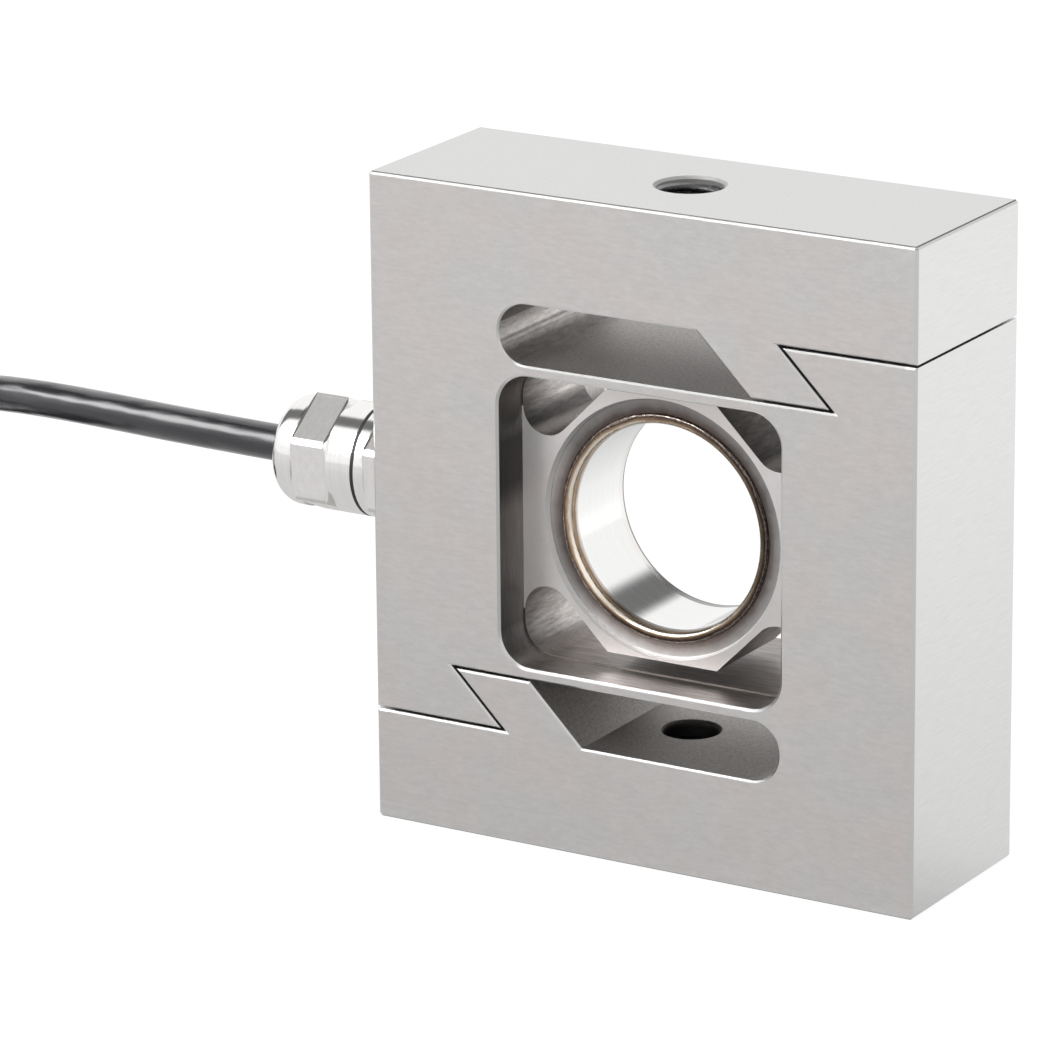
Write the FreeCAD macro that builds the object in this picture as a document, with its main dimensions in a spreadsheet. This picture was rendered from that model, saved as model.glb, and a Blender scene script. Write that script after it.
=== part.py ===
"""S-shaped tension and compression load cell with a welded sleeve, a cable gland and its lead.

Frame: +Z up, X along the front face with the lead leaving towards -X, Y from front to back.
The origin is the bottom centre of the block. Every body is drawn about the middle of the block
and lifted by half its height. Lengths are in millimetres.
"""

import FreeCAD, Part
import math
import os

import Sketcher
from FreeCAD import Vector

DRIVING_SIZES = (
    # The block
    ("block_width", 72.5, "left face to right face"),
    ("block_depth", 25.0, "front face to back face"),
    ("block_height", 80.0, "bottom face to top face"),
    ("edge_bevel", 0.35, "bevel along the outer edges"),
    ("recess_width", 37.7, "side wall to side wall of the middle recess"),
    ("recess_height", 35.8, "bottom wall to top wall of the middle recess"),
    ("recess_round", 4.0, "corner radius of the middle recess"),
    ("recess_depth", 5.6, "face of the block to face of the web"),
    ("recess_bevel", 0.3, "bevel along the rim of the recess"),
    ("flange", 1.3, "thinnest metal between the recess and a slot"),
    ("slot_height", 7.4, "height of a slot"),
    ("slot_end", 18.65, "block centre to the round end of a slot"),
    ("slot_round", 3.6, "radius at the round end of a slot"),
    ("slot_corner", 7.8, "block centre to the slot's corner by its slanted side"),
    ("slot_bevel", 0.22, "bevel along the rims of the slots and slits"),
    ("kerf", 0.32, "width of the wire-cut slit"),
    ("kerf_drop", 0.3, "slot's outer side to the slit that leaves the block"),
    ("stop_toe", 25.8, "block centre to the far point of the overload stop"),
    # The web between the recesses
    ("web_half_height", 16.1, "block centre to the web's flat edge"),
    ("web_diagonal", 16.62, "block centre to the web's slanted edge"),
    ("relief_step", 0.15, "recess wall to relief wall"),
    ("relief_round", 3.2, "radius at the end of a relief"),
    ("counterbore", 15.85, "radius of the ring cut into the web"),
    ("counterbore_depth", 0.8, "depth of the ring cut into the web"),
    ("counterbore_slope", 0.3, "how far the ring's wall leans in"),
    ("chamber_radius", 15.2, "radius of the sealed gauge chamber"),
    ("chamber_width", 8.2, "width of the sealed gauge chamber"),
    # The welded sleeve
    ("sleeve_bore", 12.6, "radius of the open bore"),
    ("sleeve_wall", 0.75, "wall of the sleeve"),
    ("sleeve_inset", 1.3, "ring's floor to the sleeve's end"),
    ("bead_foot", 13.95, "radius where the weld bead meets the web"),
    ("bead_rise", 0.35, "height of the weld bead above the ring's floor"),
    ("bead_roll", 0.75, "rounding of the bead towards the bore"),
    ("bead_toe", 0.33, "rounding of the bead towards the web"),
    # The threaded holes
    ("thread_radius", 4.0, "radius of the thread's root, M8"),
    ("thread_stop", 2.4, "slot's outer side to the end of the thread"),
    ("drill_radius", 3.4, "radius of the hole beyond the thread"),
    ("mouth_bevel", 0.33, "bevel at the mouth of a hole"),
    ("overshoot", 1.0, "how far a cut runs past what it cuts"),
    # The cable gland
    ("gland_rise", 0.4, "block centre to the gland's axis, upwards"),
    ("gland_thread", 5.0, "radius of the gland's hole in the block"),
    ("gland_clearance", 0.05, "gland's thread to its hole"),
    ("gland_depth", 8.6, "block face to the end of the gland's hole"),
    ("gland_screw", 8.1, "block face to the inner end of the gland body"),
    ("gland_bore", 2.6, "radius of the gland's bore"),
    ("wrench_width", 13.2, "across the flats of both hexagons"),
    ("hexagon_turn", 6.0, "degrees that both hexagons are turned about their axis"),
    ("hexagon_bevel", 0.35, "bevel on the corners of both hexagons"),
    ("body_hexagon", 5.2, "length of the gland body's hexagon"),
    ("collar_radius", 6.85, "radius of the collar and of the nut's skirt"),
    ("collar_length", 1.3, "length of the collar"),
    ("ring_width", 0.5, "width of the rubber ring"),
    ("nut_thread", 5.6, "radius of the nut's thread"),
    ("skirt_length", 3.45, "length of the nut's round skirt"),
    ("nut_hexagon", 4.8, "length of the nut's hexagon"),
    ("dome_radius", 6.8, "radius of the nut's dome where it starts"),
    ("dome_round", 2.8, "rounding of the nut's dome"),
    ("dome_length", 4.1, "hexagon to the end of the nut"),
    ("nut_cone", 3.2, "length of the cone inside the nut"),
    ("nut_lip", 1.2, "wall around the cable at the nut's end"),
    ("bush_radius", 4.0, "outer radius of the sealing bush"),
    ("bush_seat", 1.25, "collar's outer end to the bush's seat"),
    ("bush_length", 6.2, "length of the sealing bush"),
    ("male_thread", 6.75, "collar's outer end to the end of the male thread"),
    ("claw_length", 3.2, "length of the clamping claw"),
    ("claw_slit", 0.6, "width of the slits in the clamping claw"),
    # The wiring inside
    ("cavity_radius", 4.2, "radius of the wiring cavity"),
    ("cavity_depth", 14.75, "block face to the bottom of the wiring cavity"),
    ("channel_radius", 1.6, "radius of the channel to the chamber"),
    ("board_thickness", 0.8, "thickness of the terminal board"),
    ("board_gap", 0.1, "terminal board to the cavity wall"),
    ("board_hole", 1.3, "radius of the terminal board's hole"),
    ("resistor_width", 1.8, "length of a trimming resistor"),
    ("resistor_height", 0.9, "width of a trimming resistor"),
    ("resistor_thickness", 0.7, "thickness of a trimming resistor"),
    ("resistor_reach", 3.1, "gland's axis to the middle of a resistor"),
    ("gauge_thickness", 0.15, "thickness of a strain gauge"),
    ("gauge_width", 4.4, "width of a strain gauge"),
    ("gauge_sweep", 22.0, "degrees of the chamber that a gauge covers"),
    ("lead_radius", 0.2, "radius of a gauge's lead"),
    ("lead_spread", 0.6, "middle plane to a gauge's lead"),
    ("lead_level", 0.45, "gland's axis to a gauge's lead"),
    ("lead_bend", 0.8, "bend radius of a gauge's lead"),
    # The cable
    ("cable_radius", 2.25, "radius of the cable"),
    ("core_spread", 1.75, "cable's axis to a core inside the gland"),
)

PLACES = (
    ("half_width", "block_width / 2", "block centre to a side face"),
    ("half_depth", "block_depth / 2", "block centre to the front face"),
    ("half_height", "block_height / 2", "block centre to the top face"),
    ("recess_side", "recess_width / 2", "block centre to the recess's side wall"),
    ("recess_top", "recess_height / 2", "block centre to the recess's top wall"),
    ("web_face", "half_depth - recess_depth", "block centre to the web's face"),
    ("slot_floor", "recess_top + flange", "block centre to a slot's inner side"),
    ("slot_top", "slot_floor + slot_height", "block centre to a slot's outer side"),
    ("slot_toe", "slot_corner + slot_height", "block centre to the slot's sharp corner"),
    ("slit_start", "slot_toe - 2 * kerf", "start of the slit, within the slot"),
    ("slit_exit", "half_width + overshoot", "end of the slit, outside the block"),
    ("inner_slit_top", "slot_floor + kerf", "upper side of the inner slit"),
    ("outer_slit_top", "slot_top - kerf_drop", "upper side of the outer slit"),
    ("outer_slit_floor", "outer_slit_top - kerf", "lower side of the outer slit"),
    ("stop_right", "stop_toe - (outer_slit_floor - slot_floor)",
     "slanted slit's right side at the outer slit"),
    ("stop_left", "stop_toe - sqrt(2) * kerf - (outer_slit_top - slot_floor)",
     "slanted slit's left side at the outer slit"),
    ("stop_inner", "stop_toe - sqrt(2) * kerf - kerf", "slanted slit's left side at the inner slit"),
    ("web_corner", "web_diagonal * sqrt(2) - web_half_height", "block centre to the web's corner"),
    ("relief_side", "recess_side - relief_step", "block centre to the relief's side wall"),
    ("relief_wall", "recess_top - relief_step", "block centre to the relief's far wall"),
    ("relief_end", "web_diagonal * sqrt(2) - relief_side", "where the web's slant would meet the wall"),
    ("relief_corner", "recess_round - relief_step", "corner radius of the relief"),
    ("ring_floor", "web_face - counterbore_depth", "block centre to the ring's floor"),
    ("ring_inner", "counterbore - counterbore_slope", "radius of the ring's floor"),
    ("ring_mouth", "web_face + overshoot", "outside the web's face"),
    ("chamber_side", "chamber_width / 2", "block centre to the chamber's side"),
    ("sleeve_radius", "sleeve_bore + sleeve_wall", "outer radius of the sleeve"),
    ("sleeve_end", "ring_floor - sleeve_inset", "block centre to the sleeve's end"),
    ("bead_crest", "ring_floor + bead_rise", "block centre to the top of the bead"),
    ("hole_start", "half_height - mouth_bevel", "start of the thread"),
    ("hole_mouth", "thread_radius + mouth_bevel", "radius of the hole's mouth"),
    ("thread_end", "slot_top + thread_stop", "end of the thread"),
    ("drill_start", "thread_end - (thread_radius - drill_radius)", "end of the thread's cone"),
    ("drill_end", "slot_top + mouth_bevel", "start of the bevel at the slot"),
    ("drill_mouth", "drill_radius + mouth_bevel", "radius where the hole meets the slot"),
    ("hole_end", "slot_top - overshoot", "within the slot"),
    ("gland_mouth", "half_width + overshoot", "outside the block's left face"),
    ("gland_hole_end", "half_width - gland_depth", "end of the gland's hole"),
    ("gland_inner", "half_width - gland_screw", "inner end of the gland body"),
    ("gland_screw_radius", "gland_thread - gland_clearance", "radius of the gland's own thread"),
    ("cavity_end", "half_width - cavity_depth", "bottom of the wiring cavity"),
    ("channel_end", "chamber_radius - overshoot", "within the chamber"),
    ("wrench_corner", "wrench_width / sqrt(3)", "gland's axis to a corner of a hexagon"),
    ("bevel_radius", "wrench_corner - hexagon_bevel", "radius of a hexagon's end"),
    ("cut_radius", "wrench_corner + overshoot", "outside a hexagon"),
    ("hexagon_end", "half_width + body_hexagon", "outer end of the gland body's hexagon"),
    ("hexagon_bevel_end", "hexagon_end - hexagon_bevel", "start of its bevel"),
    ("collar_end", "hexagon_end + collar_length", "outer end of the collar"),
    ("skirt_start", "collar_end + ring_width", "inner end of the nut"),
    ("skirt_end", "skirt_start + skirt_length", "end of the nut's skirt"),
    ("nut_bevel", "skirt_end + hexagon_bevel", "bevel of the nut's hexagon"),
    ("dome_start", "skirt_end + nut_hexagon", "start of the nut's dome"),
    ("dome_bevel", "dome_start + hexagon_bevel", "where the dome takes over from the hexagon"),
    ("nut_end", "dome_start + dome_length", "outer end of the nut"),
    ("cone_end", "nut_end - nut_lip", "small end of the nut's cone"),
    ("cone_start", "cone_end - nut_cone", "large end of the nut's cone"),
    ("cable_hole", "cable_radius + 4 * gland_clearance", "radius of the hole around the cable"),
    ("thread_core", "nut_thread - gland_clearance", "radius of the male thread"),
    ("male_end", "collar_end + male_thread", "outer end of the male thread"),
    ("bush_start", "collar_end + bush_seat", "seat of the sealing bush"),
    ("bush_end", "bush_start + bush_length", "outer end of the sealing bush"),
    ("claw_end", "bush_end + claw_length", "outer end of the clamping claw"),
    ("claw_shoulder", "cone_start + gland_clearance", "where the claw's cone starts"),
    ("claw_radius", "nut_thread - 4 * gland_clearance", "outer radius of the clamping claw"),
    ("claw_tip", "claw_radius - (claw_end - claw_shoulder) * (nut_thread - cable_hole) / nut_cone",
     "radius of the claw's tip"),
    ("claw_slit_start", "bush_end + claw_slit", "start of the claw's slits"),
    ("half_slit", "claw_slit / 2", "middle of a claw's slit to its side"),
    ("jacket_inner", "half_width", "inner end of the cable, level with the block's face"),
    ("board_face", "cavity_end + board_thickness", "outer face of the terminal board"),
    ("board_radius", "cavity_radius - board_gap", "radius of the terminal board"),
    ("axis_height", "half_height + gland_rise", "bottom face to the gland's axis"),
    ("gauge_inner", "chamber_radius - gauge_thickness", "radius of a gauge's inner face"),
    ("gauge_side", "gauge_width / 2", "middle plane to a gauge's side"),
)

# Route of the cable from the gland down to its hank, and of its tail inside the hank.
FIRST_RUN = 28.0
CABLE_ROUTE = (
    (-97.0, 3.6, 40.1),
    (-114.0, 8.6, 37.2),
    (-129.0, 13.2, 30.0),
    (-143.0, 15.6, 21.6),
    (-156.0, 16.0, 15.8),
    (-169.0, 16.0, 14.3),
)
TAIL_ROUTE = (
    (-207.0, -14.1, 2.75),
    (-197.0, -13.2, 2.75),
    (-186.5, -8.2, 2.75),
    (-176.0, -2.4, 2.75),
    (-164.0, -1.0, 2.75),
)

# The hank that the cable's put-away length is folded into, in line with the block. It goes
# round two upright axes, a run apart, and lies on the two ties that hold it.
HANK_NEAR = 134.0
HANK_RUN = 84.0
HANK_INNER = 11.5
HANK_OUTER = 25.0
HANK_TOP = 16.7
HANK_ROUND = 2.2
TIE_WIDTH = 6.0
TIE_THICKNESS = 0.5
TIE_LAP = 8.0
# Share of the shorter run beside a corner that the corner's arc takes.
ARC_SHARE = 0.45

# Far end of the cable: a shrunk sleeve over its last bend, then the stripped cores with their
# crimped ends. A core's row gives its name, radius, places sideways and upwards, and its fan.
SLEEVE_RADIUS = 2.7
SLEEVE_LIP = 2.0
CORE_RADIUS = 0.45
DRAIN_RADIUS = 0.4
END_CORES = (
    ("red", CORE_RADIUS, -1.0, 0.7, -5.6),
    ("black", CORE_RADIUS, -0.55, -0.8, -2.4),
    ("green", CORE_RADIUS, 0.55, -0.8, 2.6),
    ("white", CORE_RADIUS, 1.0, 0.7, 5.3),
    ("drain", DRAIN_RADIUS, 0.0, 0.35, 0.2),
)
END_CORE_LENGTH = 28.0
# Shares of a core's length, of its fan and of its way down to the ground.
END_CORE_STEPS = (
    (0.0, 0.0, 0.0),
    (0.09, 0.0, 0.0),
    (0.26, 0.03, 0.13),
    (0.5, 0.22, 0.62),
    (0.76, 0.6, 1.0),
    (1.0, 1.0, 1.0),
)
FERRULE_RADIUS = 0.8
FERRULE_LENGTH = 7.0
FERRULE_GRIP = 3.5
FERRULE_LIFT = 0.05

# Directions of the gauges round the chamber, in degrees from +X towards +Z.
GAUGE_ANGLES = (45, 135, 225, 315)
INNER_COLOURS = ("red", "black", "green", "white")

# Points nearer than this are taken as one.
TOUCH = 1e-4


class Model:
    """The document, its sheet of sizes and the finished pieces."""

    def __init__(self):
        self.doc = FreeCAD.newDocument("LoadCell")
        self.sheet = self.doc.addObject("Spreadsheet::Sheet", "Sizes")
        self.pieces = {}
        self.volumes = {}
        self._fill_sheet()

    def _fill_sheet(self):
        """Write the driving sizes as plain numbers and the places as formulas."""
        rows = [(alias, str(value), meaning) for alias, value, meaning in DRIVING_SIZES]
        rows += [(alias, "=" + formula, meaning) for alias, formula, meaning in PLACES]
        for row, (alias, content, meaning) in enumerate(rows, start=1):
            self.sheet.set(f"A{row}", meaning)
            self.sheet.set(f"B{row}", content)
            self.sheet.setAlias(f"B{row}", alias)
        self.doc.recompute()

    def size(self, name):
        """Return a named size, with a leading minus sign taken as its negative."""
        if name == "0":
            return 0.0
        if name.startswith("-"):
            return -float(self.sheet.get(name[1:]))
        return float(self.sheet.get(name))

    @staticmethod
    def cell(name):
        """Return the expression that reads a named size."""
        if name.startswith("-"):
            return "-Sizes." + name[1:]
        return "Sizes." + name

    def body(self, label, height="half_height"):
        """Start a body whose origin lies at a named height above the ground."""
        body = self.doc.addObject("PartDesign::Body", label)
        body.Label = label
        body.setExpression(".Placement.Base.z", self.cell(height))
        self.pieces[label] = body
        return body

    def sketch(self, body, name, role, lift=None):
        """Add a sketch on one of the body's own origin planes."""
        sketch = body.newObject("Sketcher::SketchObject", name)
        plane = next(item for item in body.Origin.OriginFeatures if item.Role == role)
        sketch.AttachmentSupport = [(plane, "")]
        sketch.MapMode = "FlatFace"
        if lift:
            sketch.setExpression(".AttachmentOffset.Base.z", self.cell(lift))
        return sketch

    def _bind(self, sketch, kind, where, name):
        """Add a dimension that reads a named size."""
        index = sketch.addConstraint(Sketcher.Constraint(kind, *where, self.size(name)))
        sketch.setExpression(f"Constraints[{index}]", self.cell(name))

    def _place(self, sketch, shape, point, x, y):
        """Fix a point of the sketch by its two named coordinates."""
        for name, kind, axis in ((x, "DistanceX", -2), (y, "DistanceY", -1)):
            if name == "0":
                sketch.addConstraint(Sketcher.Constraint("PointOnObject", shape, point, axis))
            else:
                self._bind(sketch, kind, (-1, 1, shape, point), name)

    def outline(self, sketch, corners):
        """Close a line through corners of two names, with a third where a corner is round."""
        points = [Vector(self.size(corner[0]), self.size(corner[1]), 0) for corner in corners]
        radii = [self.size(corner[2]) if len(corner) > 2 else 0.0 for corner in corners]
        count = len(corners)
        arcs, arrive, leave = {}, {}, {}
        for index, (point, radius) in enumerate(zip(points, radii)):
            back = (points[index - 1] - point).normalize()
            ahead = (points[(index + 1) % count] - point).normalize()
            half = back.getAngle(ahead) / 2
            setback = radius / math.tan(half)
            arrive[index] = point + back * setback
            leave[index] = point + ahead * setback
            if radius:
                centre = point + (back + ahead).normalize() * (radius / math.sin(half))
                arcs[index] = self._arc(sketch, centre, radius, arrive[index], leave[index])
        sides = [
            sketch.addGeometry(Part.LineSegment(leave[index], arrive[(index + 1) % count]))
            for index in range(count)
        ]
        for index, corner in enumerate(corners):
            before = sides[index - 1]
            after = sides[index]
            if index not in arcs:
                sketch.addConstraint(Sketcher.Constraint("Coincident", before, 2, after, 1))
                self._place(sketch, after, 1, corner[0], corner[1])
                continue
            arc, first, last = arcs[index]
            sketch.addConstraint(Sketcher.Constraint("Tangent", before, 2, arc, first))
            sketch.addConstraint(Sketcher.Constraint("Tangent", arc, last, after, 1))
            self._bind(sketch, "Radius", (arc,), corner[2])
            mark = sketch.addGeometry(Part.Point(points[index]), True)
            sketch.addConstraint(Sketcher.Constraint("PointOnObject", mark, 1, before))
            sketch.addConstraint(Sketcher.Constraint("PointOnObject", mark, 1, after))
            self._place(sketch, mark, 1, corner[0], corner[1])

    @staticmethod
    def _arc(sketch, centre, radius, start, end):
        """Add an arc, and say which of its points starts and which ends the corner."""
        turn = (start - centre).cross(end - centre).z
        first, last = (1, 2) if turn > 0 else (2, 1)
        low, high = (start, end) if turn > 0 else (end, start)
        angles = [math.atan2(point.y - centre.y, point.x - centre.x) for point in (low, high)]
        circle = Part.Circle(centre, Vector(0, 0, 1), radius)
        return sketch.addGeometry(Part.ArcOfCircle(circle, angles[0], angles[1])), first, last

    def circle(self, sketch, name):
        """Add a circle of a named radius about the sketch's origin."""
        shape = sketch.addGeometry(Part.Circle(Vector(), Vector(0, 0, 1), self.size(name)))
        sketch.addConstraint(Sketcher.Constraint("Coincident", shape, 3, -1, 1))
        self._bind(sketch, "Radius", (shape,), name)

    def hexagon(self, sketch):
        """Add the wrench hexagon, turned about the sketch's origin."""
        radius = self.size("wrench_corner")
        turn = self.size("hexagon_turn")
        around = sketch.addGeometry(Part.Circle(Vector(), Vector(0, 0, 1), radius), True)
        sketch.addConstraint(Sketcher.Constraint("Coincident", around, 3, -1, 1))
        self._bind(sketch, "Radius", (around,), "wrench_corner")
        angles = [math.radians(90 + turn + 60 * step) for step in range(6)]
        corners = [Vector(radius * math.cos(angle), radius * math.sin(angle), 0)
                   for angle in angles]
        sides = [
            sketch.addGeometry(Part.LineSegment(corners[step], corners[(step + 1) % 6]))
            for step in range(6)
        ]
        for step in range(6):
            following = sides[(step + 1) % 6]
            sketch.addConstraint(Sketcher.Constraint("Coincident", sides[step], 2, following, 1))
            sketch.addConstraint(Sketcher.Constraint("PointOnObject", sides[step], 1, around))
        for step in range(5):
            sketch.addConstraint(Sketcher.Constraint("Equal", sides[step], sides[step + 1]))
        spoke = sketch.addGeometry(Part.LineSegment(Vector(), corners[0]), True)
        sketch.addConstraint(Sketcher.Constraint("Coincident", spoke, 1, -1, 1))
        sketch.addConstraint(Sketcher.Constraint("Coincident", spoke, 2, sides[0], 1))
        index = sketch.addConstraint(
            Sketcher.Constraint("Angle", -2, 1, spoke, 1, math.radians(turn)))
        sketch.setExpression(f"Constraints[{index}]", "Sizes.hexagon_turn * 1 deg")

    def feature(self, body, kind, name, profile, **settings):
        """Add a feature that reads a profile, with its settings."""
        feature = body.newObject("PartDesign::" + kind, name)
        feature.Profile = profile
        for key, value in settings.items():
            setattr(feature, key, value)
        return feature

    def checked_cut(self, body, feature):
        """Recompute, and stop where a cut took nothing away."""
        before = self.volumes.get(body.Name, math.inf)
        self.doc.recompute()
        self.volumes[body.Name] = feature.Shape.Volume
        if not feature.Shape.Volume < before - 1e-6:
            raise RuntimeError(f"{feature.Name} cuts nothing from {body.Name}")

    def turned(self, label, corners, axis="H_Axis", height="axis_height"):
        """Make a turned piece from its half section."""
        body = self.body(label, height)
        sketch = self.sketch(body, label + "_section", "XY_Plane")
        self.outline(sketch, corners)
        self.doc.recompute()
        turned = self.feature(body, "Revolution", label + "_turned", sketch, Angle=360,
                              ReferenceAxis=(sketch, [axis]))
        self.doc.recompute()
        self.volumes[body.Name] = turned.Shape.Volume
        return body

    def solid(self, label, shape):
        """Keep a finished shape as a piece of its own."""
        piece = self.doc.addObject("Part::Feature", label)
        piece.Label = label
        piece.Shape = shape
        self.pieces[label] = piece
        return piece

    def export(self):
        """Check every object, then write one STEP file for each piece."""
        self.doc.recompute()
        failed = [item.Name for item in self.doc.Objects
                  if "Invalid" in item.State or "Error" in item.State]
        if failed:
            raise RuntimeError("failed objects: " + ", ".join(failed))
        os.makedirs("parts", exist_ok=True)
        for label, piece in self.pieces.items():
            shape = piece.Shape
            if shape.isNull() or not shape.isValid() or not shape.Solids:
                raise RuntimeError(f"{label} has no valid solid")
            shape.exportStep(f"parts/{label}.step")


def make_block(model):
    """The S-shaped block: one piece of steel, milled, bored and wire-cut."""
    body = model.body("spring_body")
    face = model.sketch(body, "block_face", "XZ_Plane")
    model.outline(face, (("-half_width", "-half_height"), ("half_width", "-half_height"),
                         ("half_width", "half_height"), ("-half_width", "half_height")))
    blank = model.feature(body, "Pad", "blank", face, SideType="Symmetric")
    blank.setExpression("Length", "Sizes.block_depth")
    model.doc.recompute()
    bevel = body.newObject("PartDesign::Chamfer", "edge_bevels")
    bevel.Base = (blank, [f"Edge{index + 1}" for index in range(len(blank.Shape.Edges))])
    bevel.setExpression("Size", "Sizes.edge_bevel")
    model.checked_cut(body, bevel)
    cut_slots(model, body)
    cut_recesses(model, body)
    cut_reliefs(model, body)
    cut_bores(model, body)


def cut_slots(model, body):
    """The two slots, their slits and the threaded holes, alike after half a turn about Y."""
    slot = model.sketch(body, "slot_outline", "XZ_Plane")
    model.outline(slot, (("-slot_end", "slot_floor", "slot_round"), ("slot_toe", "slot_floor"),
                         ("slot_corner", "slot_top"), ("-slot_end", "slot_top", "slot_round")))
    slot_cut = model.feature(body, "Pocket", "slot", slot, Type="ThroughAll", SideType="Symmetric")
    model.checked_cut(body, slot_cut)

    slit = model.sketch(body, "slit_outline", "XZ_Plane")
    model.outline(slit, (("slit_start", "slot_floor"), ("stop_toe", "slot_floor"),
                         ("stop_right", "outer_slit_floor"), ("slit_exit", "outer_slit_floor"),
                         ("slit_exit", "outer_slit_top"), ("stop_left", "outer_slit_top"),
                         ("stop_inner", "inner_slit_top"), ("slit_start", "inner_slit_top")))
    slit_cut = model.feature(body, "Pocket", "slit", slit, Type="ThroughAll", SideType="Symmetric")
    model.checked_cut(body, slit_cut)

    hole = model.sketch(body, "hole_section", "XZ_Plane")
    model.outline(hole, (("0", "half_height"), ("0", "hole_end"), ("drill_mouth", "hole_end"),
                         ("drill_mouth", "slot_top"), ("drill_radius", "drill_end"),
                         ("drill_radius", "drill_start"), ("thread_radius", "thread_end"),
                         ("thread_radius", "hole_start"), ("hole_mouth", "half_height")))
    hole_cut = model.feature(body, "Groove", "threaded_hole", hole, Angle=360,
                             ReferenceAxis=(hole, ["V_Axis"]))
    model.checked_cut(body, hole_cut)

    pattern = body.newObject("PartDesign::PolarPattern", "half_turn")
    pattern.Originals = [slot_cut, slit_cut, hole_cut]
    turn_axis = next(item for item in body.Origin.OriginFeatures if item.Role == "Y_Axis")
    pattern.Axis = (turn_axis, [""])
    pattern.Angle = 360
    pattern.Occurrences = 2
    body.Tip = pattern
    model.checked_cut(body, pattern)
    width = model.size("half_width") - model.size("edge_bevel")
    height = model.size("half_height") - model.size("edge_bevel")
    bevel_rims(model, body, "slot_bevels", "slot_bevel", width, height)


def bevel_rims(model, body, name, size, width, height):
    """Bevel the edges in the front and back faces that lie within half a width and a height."""
    base = body.Tip
    depth = model.size("half_depth")
    rims = []
    for index, edge in enumerate(base.Shape.Edges):
        middle = edge.CenterOfMass
        points = [vertex.Point for vertex in edge.Vertexes] + [middle]
        flat = all(abs(abs(point.y) - depth) < TOUCH for point in points)
        if flat and abs(middle.x) < width - TOUCH and abs(middle.z) < height - TOUCH:
            rims.append(f"Edge{index + 1}")
    bevel = body.newObject("PartDesign::Chamfer", name)
    bevel.Base = (base, rims)
    bevel.setExpression("Size", "Sizes." + size)
    body.Tip = bevel
    model.checked_cut(body, bevel)


def mirror(model, body, name, original, role):
    """Repeat a cut on the other side of one of the body's origin planes."""
    copy = body.newObject("PartDesign::Mirrored", name)
    copy.Originals = [original]
    plane = next(item for item in body.Origin.OriginFeatures if item.Role == role)
    copy.MirrorPlane = (plane, [""])
    body.Tip = copy
    model.checked_cut(body, copy)


def cut_recesses(model, body):
    """The round-cornered recess in the front, the same in the back, and their bevelled rims."""
    recess = model.sketch(body, "recess_outline", "XZ_Plane", "half_depth")
    model.outline(recess, (("-recess_side", "-recess_top", "recess_round"),
                           ("recess_side", "-recess_top", "recess_round"),
                           ("recess_side", "recess_top", "recess_round"),
                           ("-recess_side", "recess_top", "recess_round")))
    pocket = model.feature(body, "Pocket", "recess", recess)
    pocket.setExpression("Length", "Sizes.recess_depth")
    model.checked_cut(body, pocket)
    mirror(model, body, "back_recess", pocket, "XZ_Plane")
    width = model.size("recess_side") + model.size("recess_bevel")
    height = model.size("recess_top") + model.size("recess_bevel")
    bevel_rims(model, body, "recess_bevels", "recess_bevel", width, height)


def cut_reliefs(model, body):
    """The openings above and below the web, which leave it joined at the sides alone."""
    relief = model.sketch(body, "relief_outline", "XZ_Plane")
    model.outline(relief, (("-relief_side", "-relief_wall", "relief_corner"),
                           ("relief_side", "-relief_wall", "relief_corner"),
                           ("relief_side", "-relief_end", "relief_round"),
                           ("web_corner", "-web_half_height"),
                           ("-web_corner", "-web_half_height"),
                           ("-relief_side", "-relief_end", "relief_round")))
    pocket = model.feature(body, "Pocket", "relief", relief, Type="ThroughAll",
                           SideType="Symmetric")
    model.checked_cut(body, pocket)
    mirror(model, body, "upper_relief", pocket, "XY_Plane")


def cut_bores(model, body):
    """The ring, bore and chamber in the web, and the gland's hole with its channel."""
    bore = model.sketch(body, "bore_section", "XY_Plane")
    model.outline(bore, (("0", "-ring_mouth"), ("counterbore", "-ring_mouth"),
                         ("counterbore", "-web_face"), ("ring_inner", "-ring_floor"),
                         ("sleeve_radius", "-ring_floor"), ("sleeve_radius", "-chamber_side"),
                         ("chamber_radius", "-chamber_side"), ("chamber_radius", "chamber_side"),
                         ("sleeve_radius", "chamber_side"), ("sleeve_radius", "ring_floor"),
                         ("ring_inner", "ring_floor"), ("counterbore", "web_face"),
                         ("counterbore", "ring_mouth"), ("0", "ring_mouth")))
    bore_cut = model.feature(body, "Groove", "web_bore", bore, Angle=360,
                             ReferenceAxis=(bore, ["V_Axis"]))
    model.checked_cut(body, bore_cut)

    wiring = model.sketch(body, "wiring_section", "XY_Plane", "gland_rise")
    model.outline(wiring, (("-gland_mouth", "0"), ("-channel_end", "0"),
                           ("-channel_end", "channel_radius"), ("-cavity_end", "channel_radius"),
                           ("-cavity_end", "cavity_radius"), ("-gland_hole_end", "cavity_radius"),
                           ("-gland_hole_end", "gland_thread"), ("-gland_mouth", "gland_thread")))
    wiring_cut = model.feature(body, "Groove", "wiring_bore", wiring, Angle=360,
                               ReferenceAxis=(wiring, ["H_Axis"]))
    model.checked_cut(body, wiring_cut)


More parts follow.
